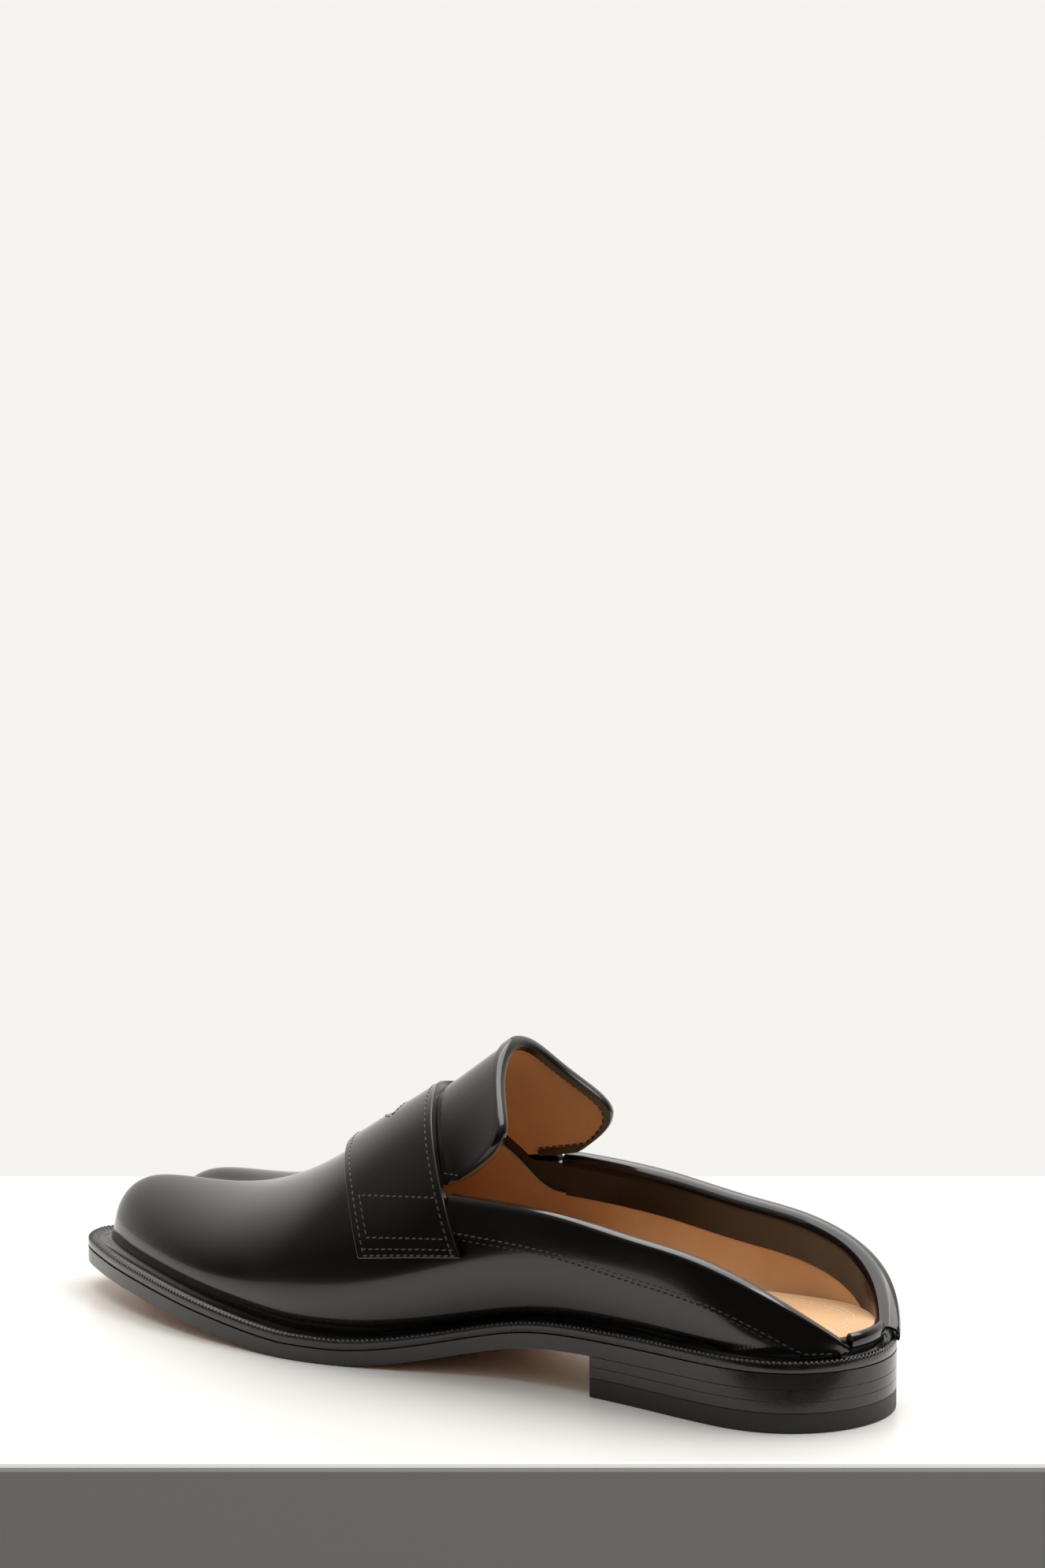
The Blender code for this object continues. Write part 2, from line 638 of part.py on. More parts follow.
def make_strap(skin, finish):
    """Saddle strap over the instep, with the slot across its crest."""
    across = np.linspace(-1, 1, STRAP_COLUMNS)
    rows = np.linspace(0, 1, STRAP_ROWS)
    front = strap_front(np.abs(across))[:, None]
    rear = strap_rear(np.abs(across))[:, None]
    shares = np.repeat(rows[None], STRAP_COLUMNS, axis=0)
    lip = STRAP_ROWS // 2
    bow = np.sqrt(np.clip(1 - (across / SLOT_REACH) ** 2, SLOT_END, 1))
    slotted = 1 - smooth_step(np.abs(across) / SLOT_REACH - 1)
    for row, turn in ((lip - 1, -1), (lip, 1)):
        opened = 0.5 + turn * 0.5 * SLOT_WIDTH * bow / (front - rear)[:, 0]
        shares[:, row] += (opened - shares[:, row]) * slotted
    alongs = rear + (front - rear) * shares
    angles = np.radians(across[:, None] * (STRAP_REACH - STRAP_RISE * (1 - rows)))
    points, out = laid(skin, angles, alongs)
    middle = np.abs(across[1:] + across[:-1]) / 2
    slot = [(int(i), lip - 1) for i in np.flatnonzero(middle < SLOT_REACH)]
    mesh = bmesh.new()
    shell(mesh, points + out * (FIT + STRAP_SHEET), points + out * FIT, slot)
    return finished("saddle_strap", mesh, finish)


def make_tongue(skin, finish):
    """Tongue behind the strap: it goes on from the throat and flares towards its free edge."""
    reach = TONGUE[-1].angle
    angles = np.linspace(TONGUE_TUCK - reach, reach, TONGUE_COLUMNS)
    rows = np.linspace(0, 1, TONGUE_ROWS)
    base = strap_rear(np.abs(angles) / (STRAP_REACH - STRAP_RISE))[:, None] + STRAP_OVERLAP - THROAT_GAP
    tip = tongue_tip(np.abs(angles))[:, None]
    alongs = base + (tip - base) * rows
    turns = np.repeat(np.radians(angles)[:, None], TONGUE_ROWS, axis=1)
    points, out = laid(skin, turns, alongs)
    behind = np.clip((base - STRAP_OVERLAP - alongs) / TONGUE_RUN, 0, 2)
    flare = TONGUE_FLARE * behind ** 1.6 * (CREST_FLARE + (np.abs(angles) / reach)[:, None] ** 1.5)
    points = points + out * flare[..., None]
    mesh = bmesh.new()
    shell(mesh, points, points - out * TONGUE_SHEET)
    return finished("tongue", mesh, finish)


def make_rand(finish):
    """Rolled edge round the back of the heel seat, from one quarter end to the other."""
    outer = feather_ring(-0.5 * (RAND_WIDTH - WALL), FINE_RING)
    inner = feather_ring(WALL, FINE_RING)
    end = QUARTER_GAP / 2 - 2 * FIT
    rear = [i for i in range(-FINE_RING // 4, FINE_RING // 4) if abs(outer[i][0]) < end][::2]
    mesh = bmesh.new()
    loops = []
    for i in rear:
        base = welt_top(0.0) + FIT
        section = [(0, 0), (0, 0.65), (0.2, 0.93), (0.5, 1), (0.8, 0.93), (1, 0.65), (1, 0)]
        loop = []
        for share, height in section:
            x, y = outer[i] * (1 - share) + inner[i] * share
            loop.append(mesh.verts.new(world((x, y, base + RAND_HEIGHT * height))))
        loops.append(loop)
    for a, b in zip(loops, loops[1:]):
        for k in range(len(a)):
            m = (k + 1) % len(a)
            mesh.faces.new((a[k], a[m], b[m], b[k]))
    mesh.faces.new(loops[0])
    mesh.faces.new(loops[-1][::-1])
    return finished("heel_rand", mesh, finish)

for old in list(bpy.data.objects):
    bpy.data.objects.remove(old, do_unlink=True)

black_calf = material("black_calf", (0.012, 0.010, 0.009), 0.16, 0.6)
black_edge = material("black_edge", (0.018, 0.015, 0.013), 0.32)
black_rubber = material("black_rubber", (0.012, 0.011, 0.010), 0.55)
tan_leather = material("tan_leather", (0.62, 0.36, 0.17), 0.5)
last = last_net()
make_outsole(black_edge)
make_welt(black_edge)
make_insole(tan_leather)
make_heel_stack(black_edge)
make_top_piece(black_rubber)
make_upper(last, black_calf)
skin = core_skin(last)
lines = upper_lines(last)
half = UPPER_COLUMNS // 2
make_collar("collar_lateral", last, collar_places(last, lines[:half]), black_calf)
make_collar("collar_medial", last, collar_places(last, lines[::-1][:half])[::-1], black_calf)
make_strap(skin, black_calf)
make_tongue(skin, black_calf)
make_rand(black_calf)
centre_on_origin([item for item in bpy.data.objects if item.type == "MESH"])
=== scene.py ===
"""Left split-toe backless loafer in polished black calf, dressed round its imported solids.

Sizes are in millimetres until they are placed. A place on the shoe is x (lateral positive), along (from the
heel back towards the toe) and z (up from the floor).
"""
from collections import namedtuple
from math import cos, pi, radians, sin

import bmesh
import bpy
import numpy as np
from mathutils import Matrix, Vector
from mathutils.bvhtree import BVHTree


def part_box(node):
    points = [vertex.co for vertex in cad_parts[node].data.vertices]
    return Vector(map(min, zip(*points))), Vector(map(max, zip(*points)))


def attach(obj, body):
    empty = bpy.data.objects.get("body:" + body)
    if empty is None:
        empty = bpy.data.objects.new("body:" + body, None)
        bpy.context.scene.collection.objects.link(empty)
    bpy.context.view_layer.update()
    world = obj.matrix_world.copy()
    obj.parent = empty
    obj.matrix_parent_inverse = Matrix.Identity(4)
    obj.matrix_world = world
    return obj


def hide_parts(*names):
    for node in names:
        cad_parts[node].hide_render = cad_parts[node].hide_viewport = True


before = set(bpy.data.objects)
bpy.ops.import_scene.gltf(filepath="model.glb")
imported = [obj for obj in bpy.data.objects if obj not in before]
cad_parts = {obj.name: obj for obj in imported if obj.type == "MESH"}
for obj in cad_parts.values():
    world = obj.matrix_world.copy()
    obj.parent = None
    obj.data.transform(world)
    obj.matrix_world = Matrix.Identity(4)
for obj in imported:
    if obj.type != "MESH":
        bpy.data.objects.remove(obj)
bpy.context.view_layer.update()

# Camera: a long lens that looks at the lateral side from a little behind and above, as the photograph does.
CAMERA_TURN = radians(125.273)
CAMERA_DIP = radians(6.511)
CAMERA_PLACE = Vector((0.8142, 0.5951, 0.2745))
LENS = 83.5
SENSOR = 36.0

camera = bpy.data.objects.new("camera", bpy.data.cameras.new("camera"))
camera.data.lens = LENS
camera.data.sensor_fit = "VERTICAL"
camera.data.sensor_height = SENSOR
camera.location = CAMERA_PLACE
camera.rotation_euler = (pi / 2 - CAMERA_DIP, 0, CAMERA_TURN)
bpy.context.scene.collection.objects.link(camera)
bpy.context.scene.camera = camera
bpy.context.scene.view_settings.view_transform = "Standard"

# Table: a pale lacquered shelf whose near edge runs level across the foot of the photograph.
TABLE_NEAR = 0.892
TABLE_FAR = 1.223
TABLE_WIDTH = 3.2
TABLE_DEPTH = 0.30
TABLE_EDGE = 0.002
PALE = (0.90, 0.89, 0.865, 1.0)

ahead = Vector((-sin(CAMERA_TURN), cos(CAMERA_TURN), 0))
mesh = bmesh.new()
bmesh.ops.create_cube(mesh, size=1.0)
bmesh.ops.scale(mesh, verts=mesh.verts, vec=(TABLE_WIDTH, TABLE_FAR - TABLE_NEAR, TABLE_DEPTH))
bmesh.ops.bevel(mesh, geom=mesh.edges[:], offset=TABLE_EDGE, segments=3, profile=0.5, affect="EDGES", material=-1)
bmesh.ops.rotate(mesh, verts=mesh.verts, cent=(0, 0, 0), matrix=Matrix.Rotation(CAMERA_TURN, 3, "Z"))
middle = CAMERA_PLACE + ahead * (TABLE_NEAR + TABLE_FAR) / 2
bmesh.ops.translate(mesh, verts=mesh.verts, vec=(middle.x, middle.y, -TABLE_DEPTH / 2))
data = bpy.data.meshes.new("table")
mesh.to_mesh(data)
mesh.free()
table = bpy.data.objects.new("table", data)
bpy.context.scene.collection.objects.link(table)
lacquer = bpy.data.materials.new("pale_lacquer")
lacquer.use_nodes = True
shader = lacquer.node_tree.nodes["Principled BSDF"]
shader.inputs["Base Color"].default_value = PALE
shader.inputs["Roughness"].default_value = 0.28
shader.inputs["Specular IOR Level"].default_value = 0.4
data.materials.append(lacquer)

# Light: a wide soft box overhead, a smaller one above the heel, a pale wall beyond the shoe that its gloss
# mirrors, and a dim room that is darkest at eye level behind the camera.
BACKDROP = (0.915, 0.900, 0.868, 1.0)
ROOM = (1.0, 0.98, 0.95, 1.0)
SKY_LOW = 0.03
SKY_HIGH = 0.50
WALL_GLOW = 0.85
KEY_POWER = 11.0
KEY_SIZE = (1.5, 1.1)
KEY_HEIGHT = 1.05
KEY_BEYOND = 0.30
FILL_POWER = 7.0
FILL_SIZE = 0.8
FILL_REACH = 0.75
FILL_HEIGHT = 0.95

room = bpy.data.worlds.new("room")
bpy.context.scene.world = room
room.use_nodes = True
tree = room.node_tree
tree.nodes.clear()
spot = tree.nodes.new("ShaderNodeTexCoord")
split = tree.nodes.new("ShaderNodeSeparateXYZ")
ramp = tree.nodes.new("ShaderNodeMapRange")
ramp.interpolation_type = "SMOOTHSTEP"
ramp.inputs["From Min"].default_value = 0.15
ramp.inputs["From Max"].default_value = 0.85
ramp.inputs["To Min"].default_value = SKY_LOW
ramp.inputs["To Max"].default_value = SKY_HIGH
glow = tree.nodes.new("ShaderNodeBackground")
glow.inputs["Color"].default_value = ROOM
seen = tree.nodes.new("ShaderNodeBackground")
seen.inputs["Color"].default_value = BACKDROP
facing_wall = tree.nodes.new("ShaderNodeVectorMath")
facing_wall.operation = "DOT_PRODUCT"
facing_wall.inputs[1].default_value = ahead
wall_ramp = tree.nodes.new("ShaderNodeMapRange")
wall_ramp.interpolation_type = "SMOOTHSTEP"
wall_ramp.inputs["From Min"].default_value = 0.05
wall_ramp.inputs["From Max"].default_value = 0.85
wall_ramp.inputs["To Max"].default_value = WALL_GLOW
total = tree.nodes.new("ShaderNodeMath")
path = tree.nodes.new("ShaderNodeLightPath")
mix = tree.nodes.new("ShaderNodeMixShader")
out = tree.nodes.new("ShaderNodeOutputWorld")
tree.links.new(spot.outputs["Generated"], split.inputs[0])
tree.links.new(split.outputs["Z"], ramp.inputs["Value"])
tree.links.new(spot.outputs["Generated"], facing_wall.inputs[0])
tree.links.new(facing_wall.outputs["Value"], wall_ramp.inputs["Value"])
tree.links.new(ramp.outputs["Result"], total.inputs[0])
tree.links.new(wall_ramp.outputs["Result"], total.inputs[1])
tree.links.new(total.outputs[0], glow.inputs["Strength"])
tree.links.new(path.outputs["Is Camera Ray"], mix.inputs[0])
tree.links.new(glow.outputs[0], mix.inputs[1])
tree.links.new(seen.outputs[0], mix.inputs[2])
tree.links.new(mix.outputs[0], out.inputs["Surface"])



def soft_box(name, place, width, depth, power):
    """An area light that looks at the shoe."""
    lamp = bpy.data.objects.new(name, bpy.data.lights.new(name, "AREA"))
    lamp.data.shape = "RECTANGLE"
    lamp.data.size = width
    lamp.data.size_y = depth
    lamp.data.energy = power
    lamp.data.color = ROOM[:3]
    lamp.location = place
    lamp.rotation_euler = (-place).to_track_quat("-Z", "Z").to_euler()
    bpy.context.scene.collection.objects.link(lamp)


soft_box("key_light", ahead * KEY_BEYOND + Vector((0, 0, KEY_HEIGHT)), *KEY_SIZE, KEY_POWER)
heelward = Vector((cos(CAMERA_TURN), sin(CAMERA_TURN), 0))
soft_box("heel_light", heelward * FILL_REACH + Vector((0, 0, FILL_HEIGHT)), FILL_SIZE, FILL_SIZE, FILL_POWER)

# Outsole: thick vegetable-tanned leather cut to the plan of the sole, split at the toe. Its edge is inked and
# polished black, and its underside is left natural.
MM = 0.001
LENGTH = 270.0
BALL_WIDTH = 90.0
HEEL_WIDTH = 59.4
HEEL_HEIGHT = 11.6
TOE_SPRING = 8.3
OUTSOLE = 4.2
LEDGE = 6.0
HEEL_LEDGE = 3.4
SPLIT_DEPTH = 8.0
SPLIT_WIDTH = 4.6
SPLIT_PLACE = -6.0
TOE_TIP = 0.010
CAD_RING = 96
FINE_RING = 420

Plan = namedtuple("Plan", "along lateral medial")
PLAN = [
    Plan(0.150, 0.328, 0.326),
    Plan(0.220, 0.306, 0.306),
    Plan(0.300, 0.292, 0.282),
    Plan(0.400, 0.313, 0.275),
    Plan(0.500, 0.410, 0.322),
    Plan(0.600, 0.489, 0.410),
    Plan(0.680, 0.482, 0.478),
    Plan(0.760, 0.446, 0.490),
    Plan(0.840, 0.378, 0.450),
    Plan(0.910, 0.293, 0.374),
    Plan(0.960, 0.212, 0.276),
    Plan(0.988, 0.145, 0.165),
]
Bottom = namedtuple("Bottom", "along heel spring")
BOTTOM = [
    Bottom(0.00, 1.00, 0.00),
    Bottom(0.28, 0.97, 0.00),
    Bottom(0.36, 0.86, 0.00),
    Bottom(0.44, 0.45, 0.00),
    Bottom(0.52, 0.08, 0.00),
    Bottom(0.56, 0.00, 0.00),
    Bottom(0.62, 0.00, 0.00),
    Bottom(0.68, 0.00, 0.15),
    Bottom(0.76, 0.00, 0.42),
    Bottom(0.84, 0.00, 0.68),
    Bottom(0.92, 0.00, 0.86),
    Bottom(1.00, 0.00, 1.00),
]


def spline(knots, values):
    """Natural cubic curve through the knots, as a function."""
    knots = np.array(knots, float)
    values = np.array(values, float)
    last = len(knots) - 1
    step = np.diff(knots)
    system = np.eye(last + 1)
    load = np.zeros(last + 1)
    for i in range(1, last):
        system[i, i - 1:i + 2] = step[i - 1], 2 * (step[i - 1] + step[i]), step[i]
        load[i] = 6 * ((values[i + 1] - values[i]) / step[i] - (values[i] - values[i - 1]) / step[i - 1])
    bend = np.linalg.solve(system, load)

    def at(x):
        x = np.asarray(x, float)
        i = np.clip(np.searchsorted(knots, x) - 1, 0, last - 1)
        b = np.clip((x - knots[i]) / step[i], 0, 1)
        a = 1 - b
        lift = ((a ** 3 - a) * bend[i] + (b ** 3 - b) * bend[i + 1]) * step[i] ** 2 / 6
        return a * values[i] + b * values[i + 1] + lift

    return at


def column(rows, key, name, scale=1.0):
    """One named column of a table as a curve over its key column."""
    return spline([getattr(row, key) for row in rows], [getattr(row, name) * scale for row in rows])


def smooth_step(value):
    value = np.clip(value, 0, 1)
    return value * value * (3 - 2 * value)


def unit(vectors):
    return vectors / np.maximum(np.linalg.norm(vectors, axis=-1, keepdims=True), 1e-9)


def walk_length(points):
    """Distance walked along a line of points, up to each of them."""
    return np.concatenate([[0], np.cumsum(np.linalg.norm(np.diff(points, axis=0), axis=1))])


def plan_ring(count):
    """Closed line round the sole without the split: heel back, lateral side, toe, medial side."""
    radius = HEEL_WIDTH / 2
    heel = [(radius * sin(radians(a)), radius - radius * cos(radians(a))) for a in (25, 50, 75)]
    lateral = heel + [(row.lateral * BALL_WIDTH, row.along * LENGTH) for row in PLAN]
    medial = [(-x, y) for x, y in heel] + [(-row.medial * BALL_WIDTH, row.along * LENGTH) for row in PLAN]
    stops = [(0.0, 0.0)] + lateral + [(TOE_TIP * BALL_WIDTH, LENGTH)] + medial[::-1]
    wrap = 5
    looped = np.array(stops[-wrap:] + stops + stops[:wrap + 1])
    walked = walk_length(looped)
    across = spline(walked, looped[:, 0])
    along = spline(walked, looped[:, 1])
    first = walked[wrap]
    total = walked[wrap + len(stops)] - first
    trial = first + total * np.linspace(0, 1, 2000)
    cleft = np.exp(-((across(trial) - SPLIT_PLACE) / 12.0) ** 2) * (along(trial) > LENGTH / 2)
    weight = walk_length(np.column_stack([across(trial), along(trial)]))
    weight = weight + np.concatenate([[0], np.cumsum(2.2 * cleft[1:] * np.diff(trial))])
    even = np.interp(np.linspace(0, weight[-1], count, endpoint=False), weight, trial)
    return np.column_stack([across(even), along(even)])


def edge_ring(inset, count):
    """Closed line inside the edge of the sole by one distance or one for each point, with the split toe."""
    points = plan_ring(count)
    tangent = unit(np.roll(points, -1, axis=0) - np.roll(points, 1, axis=0))
    points = points + np.column_stack([-tangent[:, 1], tangent[:, 0]]) * np.reshape(inset, (-1, 1))
    front = smooth_step((points[:, 1] / LENGTH - 0.80) / 0.14)
    offset = (points[:, 0] - SPLIT_PLACE) / (SPLIT_WIDTH + 0.55 * inset)
    points[:, 1] -= SPLIT_DEPTH * front * np.exp(-offset ** 2)
    return points


heel_share = column(BOTTOM, "along", "heel", HEEL_HEIGHT)
spring_share = column(BOTTOM, "along", "spring", TOE_SPRING)


def underside(along):
    """Height of the outsole's underside above the floor."""
    share = np.asarray(along) / LENGTH
    return np.maximum(heel_share(share), 0) + np.maximum(spring_share(share), 0)


solid_low, solid_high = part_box("outsole")
rim = edge_ring(0.0, CAD_RING)
SHIFT = np.array([(solid_low[0] + solid_high[0]) / 2 - (rim[:, 0].min() + rim[:, 0].max()) / 2 * MM,
                  (solid_low[1] + solid_high[1]) / 2 + (rim[:, 1].min() + rim[:, 1].max()) / 2 * MM, 0.0])


def placed(points):
    """From millimetres on the shoe to metres in the frame: toe towards -Y."""
    points = np.asarray(points, float)
    return np.stack([points[..., 0], -points[..., 1], points[..., 2]], axis=-1) * MM + SHIFT


def plate(mesh, line, low, high, step=0.0):
    """A plate over a closed line between two heights, cut across at every step so that it can bend."""
    corners = [mesh.verts.new(placed((x, y, low))) for x, y in line]
    face = mesh.faces.new(corners)
    if face.calc_center_median().z > 0 and face.normal.z > 0:
        face.normal_flip()
    grown = bmesh.ops.extrude_face_region(mesh, geom=[face])
    raised = [v for v in grown["geom"] if isinstance(v, bmesh.types.BMVert)]
    bmesh.ops.translate(mesh, verts=raised, vec=(0, 0, (high - low) * MM))
    if step:
        for along in np.arange(step, LENGTH, step):
            geometry = mesh.verts[:] + mesh.edges[:] + mesh.faces[:]
            bmesh.ops.bisect_plane(mesh, geom=geometry, dist=1e-7, plane_co=placed((0, along, 0)),
                                   plane_no=(0, 1, 0))
    bmesh.ops.recalc_face_normals(mesh, faces=mesh.faces)


def lift_to_shank(mesh, rise=-1.0):
    """Lifts a flat plate to the shank and the toe spring, above one height."""
    for v in mesh.verts:
        if v.co.z > rise * MM:
            v.co.z += float(underside((SHIFT[1] - v.co.y) / MM)) * MM


def shader_nodes(name):
    """A new material with its tree and its shader."""
    finish = bpy.data.materials.new(name)
    finish.use_nodes = True
    return finish, finish.node_tree, finish.node_tree.nodes["Principled BSDF"]


def grain_group():
    """Fine pores and a slow mottle on the object's own coordinates, for every leather of the shoe."""
    group = bpy.data.node_groups.new("leather_grain", "ShaderNodeTree")
    group.interface.new_socket("Pore Scale", in_out="INPUT", socket_type="NodeSocketFloat")
    group.interface.new_socket("Mottle Scale", in_out="INPUT", socket_type="NodeSocketFloat")
    group.interface.new_socket("Height", in_out="OUTPUT", socket_type="NodeSocketFloat")
    group.interface.new_socket("Mottle", in_out="OUTPUT", socket_type="NodeSocketFloat")
    nodes = group.nodes
    given = nodes.new("NodeGroupInput")
    made = nodes.new("NodeGroupOutput")
    place = nodes.new("ShaderNodeTexCoord")
    pores = nodes.new("ShaderNodeTexVoronoi")
    wrinkle = nodes.new("ShaderNodeTexNoise")
    wrinkle.inputs["Detail"].default_value = 4.0
    mottle = nodes.new("ShaderNodeTexNoise")
    mottle.inputs["Detail"].default_value = 3.0
    total = nodes.new("ShaderNodeMath")
    total.operation = "MULTIPLY_ADD"
    total.inputs[1].default_value = 0.6
    links = group.links
    links.new(place.outputs["Object"], pores.inputs["Vector"])
    links.new(place.outputs["Object"], wrinkle.inputs["Vector"])
    links.new(place.outputs["Object"], mottle.inputs["Vector"])
    links.new(given.outputs["Pore Scale"], pores.inputs["Scale"])
    links.new(given.outputs["Pore Scale"], wrinkle.inputs["Scale"])
    links.new(given.outputs["Mottle Scale"], mottle.inputs["Scale"])
    links.new(pores.outputs["Distance"], total.inputs[0])
    links.new(wrinkle.outputs["Fac"], total.inputs[2])
    links.new(total.outputs[0], made.inputs["Height"])
    links.new(mottle.outputs["Fac"], made.inputs["Mottle"])
    return group


leather_grain = grain_group()


def leather(name, dark, light, gloss, pores, mottle, depth, coat=0.0, coat_roughness=0.05):
    """A leather finish: two tones mottled together, its range of roughness, pores per metre and their depth."""
    finish, tree, shader = shader_nodes(name)
    grain = tree.nodes.new("ShaderNodeGroup")
    grain.node_tree = leather_grain
    grain.inputs["Pore Scale"].default_value = pores
    grain.inputs["Mottle Scale"].default_value = mottle
    tone = tree.nodes.new("ShaderNodeMix")
    tone.data_type = "RGBA"
    tone.inputs["A"].default_value = (*dark, 1)
    tone.inputs["B"].default_value = (*light, 1)
    spread = tree.nodes.new("ShaderNodeMapRange")
    spread.inputs["From Min"].default_value = 0.35
    spread.inputs["From Max"].default_value = 0.65
    rough = tree.nodes.new("ShaderNodeMapRange")
    rough.inputs["To Min"].default_value = gloss[0]
    rough.inputs["To Max"].default_value = gloss[1]
    bump = tree.nodes.new("ShaderNodeBump")
    bump.inputs["Distance"].default_value = depth * MM
    bump.inputs["Strength"].default_value = 0.6
    tree.links.new(grain.outputs["Mottle"], spread.inputs["Value"])
    tree.links.new(spread.outputs["Result"], tone.inputs["Factor"])
    tree.links.new(spread.outputs["Result"], rough.inputs["Value"])
    tree.links.new(tone.outputs["Result"], shader.inputs["Base Color"])
    tree.links.new(rough.outputs["Result"], shader.inputs["Roughness"])
    tree.links.new(grain.outputs["Height"], bump.inputs["Height"])
    tree.links.new(bump.outputs["Normal"], shader.inputs["Normal"])
    shader.inputs["Coat Weight"].default_value = coat
    shader.inputs["Coat Roughness"].default_value = coat_roughness
    return finish


def piece(name, mesh, finishes, node=None, sharp=35):
    """Puts a bmesh into the scene as a piece that rides on the shoe, and stands for its node if it has one."""
    data = bpy.data.meshes.new(name)
    mesh.to_mesh(data)
    mesh.free()
    for finish in finishes:
        data.materials.append(finish)
    data.shade_smooth()
    data.set_sharp_from_angle(angle=radians(sharp))
    item = bpy.data.objects.new(name, data)
    bpy.context.scene.collection.objects.link(item)
    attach(item, "root")
    if node:
        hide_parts(node)
    return item


def rounded(item, width, segments=3, angle=50):
    """Takes the sharp arrises off a piece."""
    bevel = item.modifiers.new("rounded", "BEVEL")
    bevel.width = width * MM
    bevel.segments = segments
    bevel.limit_method = "ANGLE"
    bevel.angle_limit = radians(angle)
    bevel.harden_normals = True
    return item


edge_ink = leather("edge_ink", (0.010, 0.008, 0.007), (0.018, 0.014, 0.011), (0.20, 0.32), 900.0, 60.0, 0.04,
                   coat=0.3, coat_roughness=0.15)
sole_tan = leather("sole_tan", (0.46, 0.24, 0.11), (0.60, 0.35, 0.18), (0.42, 0.58), 1500.0, 45.0, 0.05)

mesh = bmesh.new()
plate(mesh, edge_ring(0.0, FINE_RING), 0.0, OUTSOLE, step=4.0)
lift_to_shank(mesh)
mesh.normal_update()
for face in mesh.faces:
    face.material_index = 1 if face.normal.z < -0.7 else 0
rounded(piece("leather_sole", mesh, [edge_ink, sole_tan], "outsole"), 0.8)

# Heel: two leather lifts pasted and pinned under the sole, trimmed flush with its edge and inked black, over a
# rubber top piece. The joins show as faint level lines.
HEEL_BREAST = 75.0
TOP_PIECE = 5.4
FIT = 0.3
LIFTS = 2
LIFT_GROOVE = 0.06


def heel_line():
    """Plan of the heel: the sole's edge behind the breast, closed by the straight breast."""
    points = edge_ring(0.0, FINE_RING)
    half = len(points) // 2
    lateral = [tuple(p) for p in points[:half] if p[1] < HEEL_BREAST - 0.5]
    medial = [tuple(p) for p in points[half:] if p[1] < HEEL_BREAST - 0.5]
    edge_lateral = np.interp(HEEL_BREAST, points[:half, 1], points[:half, 0])
    edge_medial = np.interp(HEEL_BREAST, points[half:][::-1][:, 1], points[half:][::-1][:, 0])
    return lateral + [(edge_lateral, HEEL_BREAST), (edge_medial, HEEL_BREAST)] + medial


rubber, tree, shader = shader_nodes("heel_rubber")
speckle = tree.nodes.new("ShaderNodeTexNoise")
speckle.inputs["Scale"].default_value = 1800.0
place = tree.nodes.new("ShaderNodeTexCoord")
tone = tree.nodes.new("ShaderNodeMix")
tone.data_type = "RGBA"
tone.inputs["A"].default_value = (0.008, 0.008, 0.007, 1)
tone.inputs["B"].default_value = (0.016, 0.015, 0.014, 1)
bump = tree.nodes.new("ShaderNodeBump")
bump.inputs["Distance"].default_value = 0.00004
tree.links.new(place.outputs["Object"], speckle.inputs["Vector"])
tree.links.new(speckle.outputs["Fac"], tone.inputs["Factor"])
tree.links.new(speckle.outputs["Fac"], bump.inputs["Height"])
tree.links.new(tone.outputs["Result"], shader.inputs["Base Color"])
tree.links.new(bump.outputs["Normal"], shader.inputs["Normal"])
shader.inputs["Roughness"].default_value = 0.5

mesh = bmesh.new()
plate(mesh, heel_line(), 0.0, TOP_PIECE)
rounded(piece("rubber_top_piece", mesh, [rubber], "top_piece"), 0.25)

mesh = bmesh.new()
stack_low = TOP_PIECE + LIFT_GROOVE
stack_high = HEEL_HEIGHT - LIFT_GROOVE
lift = (stack_high - stack_low) / LIFTS
for turn in range(LIFTS):
    low = stack_low + turn * lift
    part = bmesh.new()
    plate(part, heel_line(), low, low + lift - LIFT_GROOVE, step=5.0 if turn == LIFTS - 1 else 0.0)
    if turn == LIFTS - 1:
        for v in part.verts:
            if v.co.z > (low + lift / 2) * MM:
                v.co.z += (float(underside((SHIFT[1] - v.co.y) / MM)) - HEEL_HEIGHT) * MM
    data = bpy.data.meshes.new("lift")
    part.to_mesh(data)
    part.free()
    mesh.from_mesh(data)
    bpy.data.meshes.remove(data)
rounded(piece("heel_lifts", mesh, [edge_ink], "heel_stack"), 0.12, segments=2)

# Welt: a narrow leather strip sewn round the upper and pasted on the sole. Its outer half is wheeled with
# slanting notches, and a channel lies between them and the upper.
WELT = 3.0
WALL = 2.0
NOTCH_PITCH = 1.45
NOTCH_DEPTH = 0.85
NOTCH_SLANT = 0.55
NOTCH_SAMPLES = 6

Rail = namedtuple("Rail", "inset height notch")
RAILS = [
    Rail(0.10, -3.30, 0.0),
    Rail(0.02, -2.90, 0.0),
    Rail(0.00, -1.00, 0.0),
    Rail(0.03, -0.45, 0.3),
    Rail(0.08, -0.12, 0.9),
    Rail(0.16, 0.06, 1.0),
    Rail(0.27, 0.10, 1.0),
    Rail(0.38, 0.06, 1.0),
    Rail(0.46, -0.12, 0.8),
    Rail(0.52, -0.55, 0.2),
    Rail(0.60, -0.95, 0.0),
    Rail(0.74, -1.00, 0.0),
    Rail(0.88, -0.70, 0.0),
    Rail(1.00, -0.30, 0.0),
    Rail(1.30, -0.20, 0.0),
    Rail(1.30, -3.30, 0.0),
]


